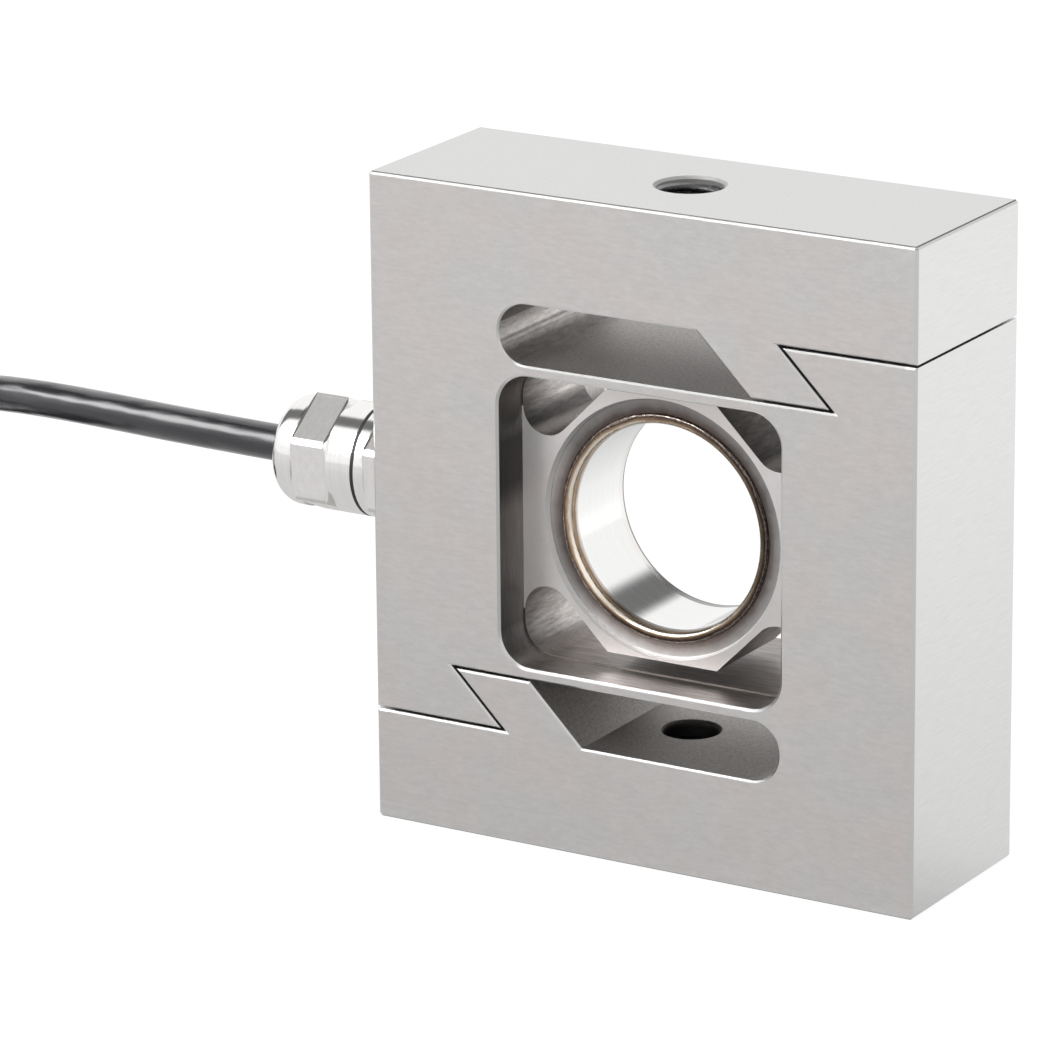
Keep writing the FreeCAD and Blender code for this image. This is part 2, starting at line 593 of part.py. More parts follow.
def make_sleeve(model):
    """The thin sleeve that closes the chamber, and its weld bead at each end."""
    model.turned("sealing_sleeve", (("sleeve_bore", "-sleeve_end"),
                                    ("sleeve_radius", "-sleeve_end"),
                                    ("sleeve_radius", "sleeve_end"),
                                    ("sleeve_bore", "sleeve_end")), "V_Axis", "half_height")
    for label, side in (("front_weld_bead", "-"), ("rear_weld_bead", "")):
        model.turned(label, (("sleeve_bore", side + "sleeve_end"),
                             ("sleeve_bore", side + "bead_crest", "bead_roll"),
                             ("bead_foot", side + "bead_crest", "bead_toe"),
                             ("bead_foot", side + "ring_floor"),
                             ("sleeve_radius", side + "ring_floor"),
                             ("sleeve_radius", side + "sleeve_end")), "V_Axis", "half_height")


def cut_hexagon(model, body, start, length):
    """Mill the wrench hexagon on a turned piece, from a named place outwards."""
    sketch = model.sketch(body, body.Name + "_hexagon", "YZ_Plane", start)
    model.circle(sketch, "cut_radius")
    model.hexagon(sketch)
    pocket = model.feature(body, "Pocket", body.Name + "_flats", sketch)
    pocket.setExpression("Length", length)
    model.checked_cut(body, pocket)


def make_gland(model):
    """The cable gland: body, ring, sealing bush, clamping claw and domed nut."""
    gland = model.turned("gland_body", (
        ("-gland_inner", "gland_bore"), ("-gland_inner", "gland_screw_radius"),
        ("-half_width", "gland_screw_radius"), ("-half_width", "wrench_corner"),
        ("-hexagon_bevel_end", "wrench_corner"), ("-hexagon_end", "bevel_radius"),
        ("-hexagon_end", "collar_radius"), ("-collar_end", "collar_radius"),
        ("-collar_end", "thread_core"), ("-male_end", "thread_core"),
        ("-male_end", "bush_radius"), ("-bush_start", "bush_radius"),
        ("-bush_start", "gland_bore")))
    cut_hexagon(model, gland, "-half_width", "Sizes.body_hexagon")
    model.turned("gland_ring", (("-collar_end", "thread_core"), ("-collar_end", "collar_radius"),
                                ("-skirt_start", "collar_radius"),
                                ("-skirt_start", "thread_core")))
    model.turned("sealing_bush", (("-bush_start", "cable_radius"), ("-bush_start", "bush_radius"),
                                  ("-bush_end", "bush_radius"), ("-bush_end", "cable_radius")))
    claw = model.turned("clamping_claw", (("-bush_end", "cable_hole"), ("-bush_end", "claw_radius"),
                                          ("-claw_shoulder", "claw_radius"),
                                          ("-claw_end", "claw_tip"), ("-claw_end", "cable_hole")))
    slit = model.sketch(claw, "claw_slit_outline", "XY_Plane")
    model.outline(slit, (("-nut_end", "-half_slit"), ("-claw_slit_start", "-half_slit"),
                         ("-claw_slit_start", "half_slit"), ("-nut_end", "half_slit")))
    slit_cut = model.feature(claw, "Pocket", "claw_slit", slit, Type="ThroughAll",
                             SideType="Symmetric")
    model.checked_cut(claw, slit_cut)
    slits = claw.newObject("PartDesign::PolarPattern", "claw_slits")
    slits.Originals = [slit_cut]
    spin_axis = next(item for item in claw.Origin.OriginFeatures if item.Role == "X_Axis")
    slits.Axis = (spin_axis, [""])
    slits.Angle = 180
    slits.Occurrences = 3
    claw.Tip = slits

    nut = model.turned("dome_nut", (
        ("-skirt_start", "nut_thread"), ("-skirt_start", "collar_radius"),
        ("-skirt_end", "collar_radius"), ("-skirt_end", "bevel_radius"),
        ("-nut_bevel", "wrench_corner"), ("-dome_start", "wrench_corner"),
        ("-dome_bevel", "dome_radius"), ("-nut_end", "dome_radius", "dome_round"),
        ("-nut_end", "cable_hole"), ("-cone_end", "cable_hole"), ("-cone_start", "nut_thread")))
    cut_hexagon(model, nut, "-skirt_end", "Sizes.nut_hexagon + Sizes.hexagon_bevel")


def ring_segment(model, inner, outer, side, angle, sweep):
    """A strip of a tube about the block's Y axis, centred on an angle from +X towards +Z."""
    tube = Part.makeCylinder(outer, 2 * side, Vector(0, side, 0), Vector(0, -1, 0), sweep)
    bore = Part.makeCylinder(inner, 2 * side, Vector(0, side, 0), Vector(0, -1, 0), sweep)
    strip = tube.cut(bore).Solids[0]
    middle = strip.CenterOfMass
    found = math.degrees(math.atan2(middle.z, middle.x))
    strip.rotate(Vector(), Vector(0, 1, 0), found - angle)
    strip.translate(Vector(0, 0, model.size("half_height")))
    return strip


def tube_along(wire, start, direction, radius):
    """Sweep a round section along a wire."""
    section = Part.Wire([Part.Circle(start, direction, radius).toShape()])
    return wire.makePipeShell([section], True, False)


def make_gauges(model):
    """Four bonded gauges in the chamber, each with a lead to the channel."""
    orbit = model.size("gauge_inner") - model.size("lead_radius")
    bend = model.size("lead_bend")
    end = Vector(-model.size("board_face"), 0, 0)
    for number, angle in enumerate(GAUGE_ANGLES, start=1):
        model.solid(f"strain_gauge_{number}", ring_segment(
            model, model.size("gauge_inner"), model.size("chamber_radius"),
            model.size("gauge_side"), angle, model.size("gauge_sweep")))
        up = 1 if angle < 180 else -1
        level = model.size("gland_rise") + up * model.size("lead_level")
        pivot_z = level + up * bend
        pivot = Vector(-math.sqrt((orbit + bend) ** 2 - pivot_z ** 2), 0, pivot_z)
        leaves = pivot * (orbit / (orbit + bend))
        heading = math.atan2(leaves.z, leaves.x) % (2 * math.pi)
        first = math.radians(angle)
        middle = (first + heading) / 2
        begin = Vector(orbit * math.cos(first), 0, orbit * math.sin(first))
        halfway = Vector(orbit * math.cos(middle), 0, orbit * math.sin(middle))
        turned = Vector(pivot.x, 0, level)
        knee = pivot + ((leaves - pivot) + (turned - pivot)).normalize() * bend
        end.z = level
        wire = Part.Wire([Part.Arc(begin, halfway, leaves).toShape(),
                          Part.Arc(leaves, knee, turned).toShape(),
                          Part.LineSegment(turned, end).toShape()])
        tangent = Vector(-math.sin(first), 0, math.cos(first))
        lead = tube_along(wire, begin, tangent, model.size("lead_radius"))
        side = model.size("lead_spread") * (-1 if number in (1, 4) else 1)
        lead.translate(Vector(0, side, model.size("half_height")))
        model.solid(f"gauge_lead_{number}", lead)


def make_wiring(model):
    """The terminal board, trimming resistors, cable cores and the potting around them."""
    model.turned("terminal_board", (("-cavity_end", "board_hole"), ("-cavity_end", "board_radius"),
                                    ("-board_face", "board_radius"), ("-board_face", "board_hole")))
    height = model.size("axis_height")
    face = -model.size("board_face")
    around = []
    for number, up in enumerate((1, -1), start=1):
        thick = model.size("resistor_thickness")
        wide = model.size("resistor_width")
        tall = model.size("resistor_height")
        corner = Vector(face - thick, -wide / 2, height + up * model.size("resistor_reach") - tall / 2)
        around.append(Part.makeBox(thick, wide, tall, corner))
        model.solid(f"trim_resistor_{number}", around[-1])
    length = model.size("jacket_inner") - model.size("board_face")
    for number, colour in enumerate(INNER_COLOURS):
        angle = math.radians(45 + 90 * number)
        spread = model.size("core_spread")
        start = Vector(face, spread * math.cos(angle), height + spread * math.sin(angle))
        around.append(Part.makeCylinder(CORE_RADIUS, length, start, Vector(-1, 0, 0)))
        model.solid(f"inner_core_{colour}", around[-1])
    wide_part = Part.makeCylinder(model.size("cavity_radius"),
                                  model.size("gland_inner") - model.size("board_face"),
                                  Vector(face, 0, height), Vector(-1, 0, 0))
    narrow_part = Part.makeCylinder(model.size("gland_bore"), length, Vector(face, 0, height),
                                    Vector(-1, 0, 0))
    potting = wide_part.fuse(narrow_part)
    for piece in around:
        potting = potting.cut(piece)
    model.solid("potting", potting.removeSplitter())


def smooth_route(points):
    """Join straight runs by tangent arcs, and return the wire with its length and radii."""
    edges, radii = [], []
    here = points[0]
    for before, corner, after in zip(points, points[1:], points[2:]):
        back = before - corner
        ahead = after - corner
        turn = math.pi - back.getAngle(ahead)
        setback = ARC_SHARE * min(back.Length, ahead.Length)
        radius = setback / math.tan(turn / 2)
        back.normalize()
        ahead.normalize()
        start = corner + back * setback
        end = corner + ahead * setback
        centre = corner + (back + ahead).normalize() * (radius / math.cos(turn / 2))
        middle = centre + (corner - centre).normalize() * radius
        edges.append(Part.LineSegment(here, start).toShape())
        edges.append(Part.Arc(start, middle, end).toShape())
        radii.append(radius)
        here = end
    edges.append(Part.LineSegment(here, points[-1]).toShape())
    return Part.Wire(edges), radii


def cord(model, label, points, radius, cutters=()):
    """Make a tube along a route, and report how its volume agrees with its length."""
    wire, radii = smooth_route(points)
    shape = tube_along(wire, points[0], points[1] - points[0], radius)
    expected = math.pi * radius ** 2 * wire.Length
    print(f"{label}: length {wire.Length:.1f}, smallest radius {min(radii):.1f}, "
          f"volume over section times length {shape.Volume / expected:.4f}")
    for cutter in cutters:
        shape = shape.cut(cutter)
    return model.solid(label, shape)


def oblong(radius):
    """An upright solid round the hank's two axes, as high as the hank."""
    height = HANK_TOP - TIE_THICKNESS
    far = HANK_NEAR + HANK_RUN
    ends = [Part.makeCylinder(radius, height, Vector(-axis, 0, TIE_THICKNESS))
            for axis in (HANK_NEAR, far)]
    run = Part.makeBox(HANK_RUN, 2 * radius, height, Vector(-far, -radius, TIE_THICKNESS))
    return run.fuse(ends).removeSplitter()


def make_hank(model):
    """The hank's outer shape, and a lapped strap round each of its two runs."""
    hank = oblong(HANK_OUTER).cut(oblong(HANK_INNER))
    rims = [edge for edge in hank.Edges if edge.BoundBox.ZLength < TOUCH]
    hank = hank.makeFillet(HANK_ROUND, rims)
    model.solid("cable_hank", hank)
    left = -HANK_NEAR - HANK_RUN / 2 - TIE_WIDTH / 2
    width = HANK_OUTER - HANK_INNER + 2 * TIE_THICKNESS
    height = HANK_TOP + TIE_THICKNESS
    for label, front in (("front_tie", -HANK_OUTER - TIE_THICKNESS),
                         ("rear_tie", HANK_INNER - TIE_THICKNESS)):
        band = Part.makeBox(TIE_WIDTH, width, height, Vector(left, front, 0))
        along = [edge for edge in band.Edges if edge.BoundBox.XLength > TOUCH]
        band = band.makeFillet(HANK_ROUND + TIE_THICKNESS, along)
        lap = Part.makeBox(TIE_WIDTH, TIE_LAP, TIE_THICKNESS,
                           Vector(left, front + (width - TIE_LAP) / 2, height))
        model.solid(label, band.cut(hank).fuse(lap).removeSplitter())
    return hank


def make_cable(model):
    """The cable on its way to the hank, the hank with its ties, and the tail."""
    radius = model.size("cable_radius")
    start = Vector(-model.size("jacket_inner"), 0, model.size("axis_height"))
    route = [start, start - Vector(FIRST_RUN, 0, 0)] + [Vector(*point) for point in CABLE_ROUTE]
    hank = make_hank(model)
    cord(model, "cable", route, radius, (hank,))
    cord(model, "cable_tail", [Vector(*point) for point in TAIL_ROUTE], radius, (hank,))


def make_cable_end(model):
    """The shrunk sleeve at the cable's end, its stripped cores, the drain and their crimps."""
    route = [Vector(*point) for point in TAIL_ROUTE]
    end = route[-1]
    ahead = (end - route[-2]).normalize()
    side = Vector(0, 0, 1).cross(ahead)
    bend, run = smooth_route(route)[0].Edges[-2:]
    covered = Part.LineSegment(run.Vertexes[0].Point, end + ahead * SLEEVE_LIP).toShape()
    line = Part.Wire([bend, covered])
    begin = bend.valueAt(bend.FirstParameter)
    entry = route[-2] - route[-3]
    sleeve = tube_along(line, begin, entry, SLEEVE_RADIUS)
    sleeve = sleeve.cut(tube_along(line, begin, entry, model.size("cable_radius")))
    model.solid("end_sleeve", sleeve)
    for name, thickness, across, lift, fan in END_CORES:
        place = end + side * across + Vector(0, 0, lift)
        low = Vector(0, 0, FERRULE_RADIUS + FERRULE_LIFT - place.z)
        points = [place + ahead * (END_CORE_LENGTH * along) + side * (fan * out) + low * down
                  for along, out, down in END_CORE_STEPS]
        cord(model, f"end_core_{name}", points, thickness)
        heading = (points[-1] - points[-2]).normalize()
        mouth = points[-1] - heading * FERRULE_GRIP
        ferrule = Part.makeCylinder(FERRULE_RADIUS, FERRULE_LENGTH, mouth, heading)
        bore = Part.makeCylinder(thickness, FERRULE_GRIP, mouth, heading)
        model.solid(f"ferrule_{name}", ferrule.cut(bore))


def main():
    """Build every piece and write it out."""
    model = Model()
    make_block(model)
    make_sleeve(model)
    make_gland(model)
    make_gauges(model)
    make_wiring(model)
    make_cable(model)
    make_cable_end(model)
    model.export()


main()
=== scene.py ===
"""Dresses the S type load cell and stands it in a white studio.

Lengths are in metres in the row's frame: +Z up, X along the front face with the lead leaving
towards -X, Y from front to back, and the origin under the middle of the block. The materials
measure in millimetres from the middle of the block.
"""
from __future__ import annotations

import logging
import math
from dataclasses import dataclass
from enum import Enum
from functools import partial, reduce

import bmesh
import bpy
import numpy as np
from mathutils import Matrix, Vector


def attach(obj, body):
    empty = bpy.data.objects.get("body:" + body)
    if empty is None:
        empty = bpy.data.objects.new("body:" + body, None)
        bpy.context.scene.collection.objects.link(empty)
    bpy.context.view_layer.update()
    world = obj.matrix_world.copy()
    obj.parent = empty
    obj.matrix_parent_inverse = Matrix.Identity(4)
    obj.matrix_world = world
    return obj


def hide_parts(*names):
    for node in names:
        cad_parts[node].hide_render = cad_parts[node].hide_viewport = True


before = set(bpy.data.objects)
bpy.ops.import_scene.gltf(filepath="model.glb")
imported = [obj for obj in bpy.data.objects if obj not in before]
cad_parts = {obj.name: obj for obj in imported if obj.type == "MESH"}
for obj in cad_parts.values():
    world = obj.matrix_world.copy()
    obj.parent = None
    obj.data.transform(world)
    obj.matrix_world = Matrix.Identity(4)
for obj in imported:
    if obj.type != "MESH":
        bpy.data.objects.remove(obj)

LOG = logging.getLogger("load_cell")
MM = 0.001
BODY = "root"
Point = tuple[float, float, float]
Colour = tuple[float, float, float]
Material = bpy.types.Material
Socket = bpy.types.NodeSocket
Node = bpy.types.Node
Tree = bpy.types.NodeTree
Piece = bpy.types.Object


class Blend(Enum):
    """How one colour is laid over another."""

    MIX = "MIX"
    MULTIPLY = "MULTIPLY"


class Graph:
    """A node tree, with short ways to add nodes and to join them."""

    def __init__(self, tree: Tree) -> None:
        """Keep the tree and empty it.

        Args:
            tree: The tree of a material, a world or a group.
        """
        self.tree = tree
        tree.nodes.clear()

    def feed(self, socket: Socket, value: object) -> None:
        """Join a socket to another one, or set its own value.

        Args:
            socket: The input that is fed.
            value: An output socket, a number, a vector or a colour without its opacity.
        """
        if isinstance(value, Socket):
            self.tree.links.new(value, socket)
        elif isinstance(value, tuple) and socket.type == "RGBA":
            socket.default_value = (*value, 1.0)
        elif value is not None:
            socket.default_value = value

    def add(self, kind: str, inputs: dict[object, object] | None = None, **settings: object) -> Node:
        """Add a node.

        Args:
            kind: The node's type name.
            inputs: What feeds each input, by its name or number.
            **settings: The node's own properties.

        Returns:
            The new node.
        """
        node = self.tree.nodes.new(kind)
        for name, value in settings.items():
            setattr(node, name, value)
        for name, value in (inputs or {}).items():
            self.feed(node.inputs[name], value)
        return node

    def math(self, operation: str, first: object, second: object = 0.0,
             third: object = 0.0) -> Socket:
        """Return the result of a math node that works on up to three values."""
        node = self.add("ShaderNodeMath", {0: first, 1: second, 2: third}, operation=operation)
        return node.outputs[0]

    def product(self, *values: object) -> Socket:
        """Return the product of several masks or values."""
        return reduce(partial(self.math, "MULTIPLY"), values)

    def largest(self, *values: object) -> Socket:
        """Return the largest of several masks or values."""
        return reduce(partial(self.math, "MAXIMUM"), values)

    def other(self, mask: object) -> Socket:
        """Return the opposite of a mask."""
        return self.math("SUBTRACT", 1.0, mask)

    def swing(self, noise: object, width: object, middle: object) -> Socket:
        """Return a value that a noise around a half moves to and fro over a width."""
        return self.math("MULTIPLY_ADD", self.math("SUBTRACT", noise, 0.5), width, middle)

    def inside(self, value: object, low: float, high: float, soft: float) -> Socket:
        """Return 1 where a value lies between two limits, with soft ends.

        Args:
            value: The value that is tested.
            low: Lower limit.
            high: Upper limit.
            soft: Width of each soft end.

        Returns:
            The mask.
        """
        rise = self.span(value, low - soft, low + soft)
        fall = self.span(value, high - soft, high + soft, 1.0, 0.0)
        return self.product(rise, fall)

    def line(self, value: object, low: object, high: object, start: object = 0.0,
             end: object = 1.0, easing: str = "LINEAR") -> Socket:
        """Return a value's place between two limits, laid onto two others straight or eased."""
        inputs = {0: value, 1: low, 2: high, 3: start, 4: end}
        return self.add("ShaderNodeMapRange", inputs, interpolation_type=easing).outputs[0]

    def span(self, *limits: object) -> Socket:
        """Return a value's place between two limits, laid onto two others smoothly eased."""
        return self.line(*limits, easing="SMOOTHSTEP")

    def mix(self, share: object, low: object, high: object, blend: Blend = Blend.MIX) -> Socket:
        """Return one colour laid over another.

        Args:
            share: How much of the upper colour is laid on.
            low: The colour below, as a socket or three numbers.
            high: The colour above, as a socket or three numbers.
            blend: How it is laid on.

        Returns:
            The mixed colour.
        """
        node = self.add("ShaderNodeMix", {0: share, 6: low, 7: high}, data_type="RGBA",
                        blend_type=blend.value)
        return node.outputs[2]

    def between(self, share: object, low: object, high: object) -> Socket:
        """Return a value between two others."""
        return self.add("ShaderNodeMix", {0: share, 2: low, 3: high}).outputs[0]

    def ramp(self, value: object, stops: tuple[tuple[float, Colour], ...]) -> Socket:
        """Return a colour read from a row of stops.

        Args:
            value: The place along the row, from 0 to 1.
            stops: Each stop's place and colour.

        Returns:
            The colour.
        """
        node = self.add("ShaderNodeValToRGB", {0: value})
        elements = node.color_ramp.elements
        while len(elements) < len(stops):
            elements.new(0.5)
        for element, (place, colour) in zip(elements, stops):
            element.position = place
            element.color = (*colour, 1.0)
        return node.outputs[0]

    def levels(self, value: object, stops: tuple[tuple[float, float], ...]) -> Socket:
        """Return a brightness read from a row of stops, each a place and a level."""
        return self.ramp(value, tuple((place, (level,) * 3) for place, level in stops))

    def noise(self, vector: object, scale: object, detail: float = 2.0,
              roughness: float = 0.5) -> Socket:
        """Return a noise value around a half."""
        node = self.add("ShaderNodeTexNoise", {"Vector": vector, "Scale": scale, "Detail": detail,
                                               "Roughness": roughness})
        return node.outputs[0]

    def vector(self, operation: str, first: object, second: object = None) -> Node:
        """Add a vector math node that works on one or two vectors."""
        return self.add("ShaderNodeVectorMath", {0: first, 1: second}, operation=operation)

    def length(self, first: object, second: object) -> Socket:
        """Return the distance of a point from an axis, from its two places beside it."""
        return self.vector("LENGTH", self.joined(first, second, 0.0)).outputs["Value"]

    def shaded(self, colour: object, factor: object) -> Socket:
        """Return a colour made lighter or darker by a factor."""
        node = self.vector("SCALE", colour)
        self.feed(node.inputs["Scale"], factor)
        return node.outputs[0]

    def stretched(self, vector: object, factors: object) -> Socket:
        """Return a vector with each of its parts multiplied."""
        return self.vector("MULTIPLY", vector, factors).outputs[0]

    def parts(self, vector: object) -> list[Socket]:
        """Return the three parts of a vector."""
        return list(self.add("ShaderNodeSeparateXYZ", {0: vector}).outputs)

    def joined(self, *values: object) -> Socket:
        """Return a vector made of three values."""
        return self.add("ShaderNodeCombineXYZ", dict(enumerate(values))).outputs[0]

    def unit(self, vector: object) -> Socket:
        """Return a vector with its length made 1."""
        return self.vector("NORMALIZE", vector).outputs[0]

    def rays(self) -> tuple[Socket, Socket]:
        """Return the masks of the rays that the camera sends and of those from metal or glass."""
        path = self.add("ShaderNodeLightPath").outputs
        return path["Is Camera Ray"], self.largest(path["Is Glossy Ray"], path["Is Transmission Ray"])

    def group(self, tree: Tree, **values: object) -> Node:
        """Place a node group and feed its inputs by name."""
        return self.add("ShaderNodeGroup", values, node_tree=tree)


class Effects:
    """The effects that several finishes share, each a node group that is built once."""

    VALUE = "NodeSocketFloat"
    VECTOR = "NodeSocketVector"
    COLOUR = "NodeSocketColor"

    def __init__(self) -> None:
        """Build every group."""
        self.grain = self._grain()
        self.heat = self._heat()
        self.marks = self._marks()

    def _start(self, name: str, inputs: dict[str, str],
               outputs: dict[str, str]) -> tuple[Graph, Node, Node]:
        """Start a group with its sockets.

        Args:
            name: The group's name.
            inputs: Type of each input by its name.
            outputs: Type of each output by its name.

        Returns:
            The graph, the node that holds the inputs and the node that takes the outputs.
        """
        tree = bpy.data.node_groups.new(name, "ShaderNodeTree")
        for label, kind in inputs.items():
            tree.interface.new_socket(label, in_out="INPUT", socket_type=kind)
        for label, kind in outputs.items():
            tree.interface.new_socket(label, in_out="OUTPUT", socket_type=kind)
        graph = Graph(tree)
        return graph, graph.add("NodeGroupInput"), graph.add("NodeGroupOutput")

    def _grain(self) -> Tree:
        """Fine lines left by a tool: noise that is drawn out along one direction, or pits."""
        graph, given, result = self._start(
            "Tool marks", {"Vector": self.VECTOR, "Stretch": self.VECTOR}, {"Lines": self.VALUE})
        drawn = graph.stretched(given.outputs["Vector"], given.outputs["Stretch"])
        both = graph.noise(drawn, 1.0, 3.0, 0.75)
        graph.feed(result.inputs["Lines"], graph.line(both, 0.3, 0.7))
        return graph.tree

    def _heat(self) -> Tree:
        """Oxide colours beside a weld: straw next to it, then brown, then a violet grey."""
        graph, given, result = self._start(
            "Weld heat tint",
            {"Vector": self.VECTOR, "Distance": self.VALUE, "Metal": self.COLOUR},
            {"Colour": self.COLOUR})
        wander = graph.noise(given.outputs["Vector"], 0.5, 2.0, 0.6)
        place = graph.swing(wander, 0.5, given.outputs["Distance"])
        tint = graph.ramp(place, (
            (0.0, (0.50, 0.40, 0.33)), (0.14, (0.36, 0.29, 0.26)), (0.34, (0.46, 0.42, 0.40)),
            (0.58, (0.72, 0.69, 0.68)), (1.0, (1.0, 1.0, 1.0))))
        graph.feed(result.inputs["Colour"],
                   graph.mix(1.0, given.outputs["Metal"], tint, Blend.MULTIPLY))
        return graph.tree

    def _marks(self) -> Tree:
        """Faint marks of handling: broad soft patches and a few hair-thin scratches."""
        graph, given, result = self._start(
            "Handling marks", {"Vector": self.VECTOR}, {"Smudge": self.VALUE, "Scratch": self.VALUE})
        smudge = graph.noise(given.outputs["Vector"], 0.09, 2.0, 0.6)
        graph.feed(result.inputs["Smudge"], graph.line(smudge, 0.35, 0.65))
        turned = graph.add("ShaderNodeVectorRotate",
                           {"Vector": given.outputs["Vector"], "Angle": 0.7},
                           rotation_type="Y_AXIS").outputs[0]
        cells = graph.noise(graph.stretched(turned, (0.04, 0.04, 1.9)), 1.0, 1.0, 0.5)
        close = graph.math("ABSOLUTE", graph.math("SUBTRACT", cells, 0.5))
        line = graph.span(close, 0.0, 0.008, 1.0, 0.0)
        graph.feed(result.inputs["Scratch"],
                   graph.product(line, graph.span(smudge, 0.52, 0.6)))
        return graph.tree


class Finish:
    """A material in the making: its graph, its shader and its coordinates in millimetres."""

    def __init__(self, name: str, centre: Colour = (0.0, 0.0, 0.0), **shader: object) -> None:
        """Start a material.

        Args:
            name: The material's name, which is its slot in the record.
            centre: The point that its coordinates start from, in metres.
            **shader: Values of the shader's own sockets.
        """
        self.material = bpy.data.materials.new(name)
        self.material.use_nodes = True
        self.graph = Graph(self.material.node_tree)
        self.shader = self.graph.add("ShaderNodeBsdfPrincipled")
        self.set(**shader)
        self.graph.add("ShaderNodeOutputMaterial", {"Surface": self.shader.outputs[0]})
        place = self.graph.add("ShaderNodeTexCoord")
        shift = tuple(-value / MM for value in centre)
        mapping = self.graph.add("ShaderNodeMapping", {
            "Vector": place.outputs["Object"], "Location": shift, "Scale": (1 / MM,) * 3})
        self.place = mapping.outputs[0]
        self.normal = place.outputs["Normal"]

    def set(self, **inputs: object) -> None:
        """Feed the shader's inputs by name."""
        for name, value in inputs.items():
            self.graph.feed(self.shader.inputs[name.replace("_", " ")], value)

    def relief(self, height: object, depth: object, normal: object = None) -> None:
        """Raise the surface by a height from 0 to 1.

        Args:
            height: The height's socket.
            depth: What a height of 1 is, in metres.
            normal: The normal to start from, if it isn't the surface's own.
        """
        bump = self.graph.add("ShaderNodeBump", {
            "Strength": 1.0, "Distance": depth, "Height": height, "Normal": normal})
        self.set(Normal=bump.outputs[0])


# Brightness levels that paint light and shade: painted light and shade on the turned ring by its angle
# round the bore, a painted sheen on the slot's round end by the way it faces, from down to up, and
# painted shade in a threaded hole by its height, from the slot to the mouth, dark inside and lighter
# at both ends. The ring's levels were worked out from the photograph's brightness at 18 angles,
# against a render's. The other two rows were set one by one from zoomed views.
PAINTED_RING_LIGHT = (
    (0.0, 0.66), (0.056, 0.45), (0.11, 0.52), (0.16, 0.86), (0.23, 0.88), (0.28, 0.76), (0.34, 0.6),
    (0.4, 0.52), (0.5, 0.55), (0.56, 0.43), (0.7, 0.42), (0.83, 0.38), (0.9, 0.44), (0.945, 0.76),
    (1.0, 0.66))
PAINTED_SLOT_SHEEN = (
    (0.0, 0.45), (0.34, 0.5), (0.37, 0.98), (0.5, 1.0), (0.60, 0.94), (0.635, 0.42), (0.66, 0.42),
    (0.67, 0.7), (0.71, 0.66), (0.725, 0.40), (0.74, 0.56), (0.78, 0.5), (0.84, 0.33), (0.95, 0.36),
    (1.0, 0.43))
PAINTED_HOLE_SHADE = (
    (0.0, 0.4), (0.03, 0.08), (0.06, 0.015), (0.7, 0.02), (0.88, 0.09), (0.93, 0.10), (0.94, 0.46),
    (0.975, 0.54), (1.0, 0.64))


@dataclass(frozen=True)
class BlockSizes:
    """Sizes of the block that its finish needs, in millimetres from the block's middle."""

    half_width: float = 36.25
    half_depth: float = 12.5
    half_height: float = 40.0
    bevel: float = 0.35
    slot: tuple[float, float] = (18.9, 27.0)
    slot_side: float = 34.0
    recess_side: float = 19.1
    recess_top: float = 18.25
    web_face: float = 6.9
    relief_centre: tuple[float, float] = (14.85, 13.9)
    relief_round: float = 3.85
    ledge_start: float = 12.4
    ring_floor: float = 6.1
    ring_wall: float = 15.55
    ring_mouth: float = 15.85
    bead_foot: float = 13.95
    hole_radius: float = 4.36
    hole_bottom: float = 26.62


class Regions:
    """Where a point of the block lies and which way its face looks, as values and masks."""

    def __init__(self, finish: Finish, sizes: BlockSizes) -> None:
        """Work out every value and mask.

        Args:
            finish: The material that they are for.
            sizes: The block's sizes.
        """
        graph = finish.graph
        self.x, self.y, self.z = graph.parts(finish.place)
        self.across, self.deep, self.up = (graph.math("ABSOLUTE", part)
                                           for part in (self.x, self.y, self.z))
        self.facing = graph.parts(finish.normal)
        self.side, self.front, self.level = (graph.math("ABSOLUTE", part) for part in self.facing)
        within = graph.span(self.deep, sizes.half_depth - 0.3, sizes.half_depth - 0.25, 1.0, 0.0)
        self.slot = graph.product(within, graph.inside(self.up, *sizes.slot, 0.05), graph.span(
            self.across, sizes.slot_side, sizes.slot_side + 1, 1.0, 0.0))
        self.same_side = graph.span(graph.product(self.x, self.z), -1.0, 1.0)
        self.recess = graph.product(
            within, graph.span(self.up, sizes.recess_top - 0.05, sizes.recess_top, 1.0, 0.0),
            graph.span(self.across, sizes.recess_side, sizes.recess_side + 0.05, 1.0, 0.0))
        beyond = (graph.math("MAXIMUM", graph.math("SUBTRACT", value, centre), 0.0)
                  for value, centre in zip((self.across, self.up), sizes.relief_centre))
        ledge = graph.product(
            graph.span(graph.length(*beyond), sizes.relief_round - 0.04, sizes.relief_round),
            graph.span(self.up, sizes.ledge_start, sizes.ledge_start + 0.2))
        self.web = graph.product(self.recess, graph.span(self.front, 0.7, 0.9), graph.other(ledge))
        self.radius = graph.length(self.x, self.z)
        below = graph.inside(self.deep, sizes.ring_floor - 0.1, sizes.web_face + 0.1, 0.03)
        self.ring = graph.product(below, graph.span(self.radius, sizes.ring_mouth - 0.01,
                                                    sizes.ring_mouth + 0.01, 1.0, 0.0))
        self.ring_wall = graph.product(self.ring, graph.span(
            self.radius, sizes.ring_wall - 0.02, sizes.ring_wall + 0.04))
        self.hole = graph.product(graph.span(graph.length(self.x, self.y), sizes.hole_radius,
                                             sizes.hole_radius + 0.04, 1.0, 0.0),
                                  graph.span(self.up, sizes.hole_bottom, sizes.hole_bottom + 0.08))


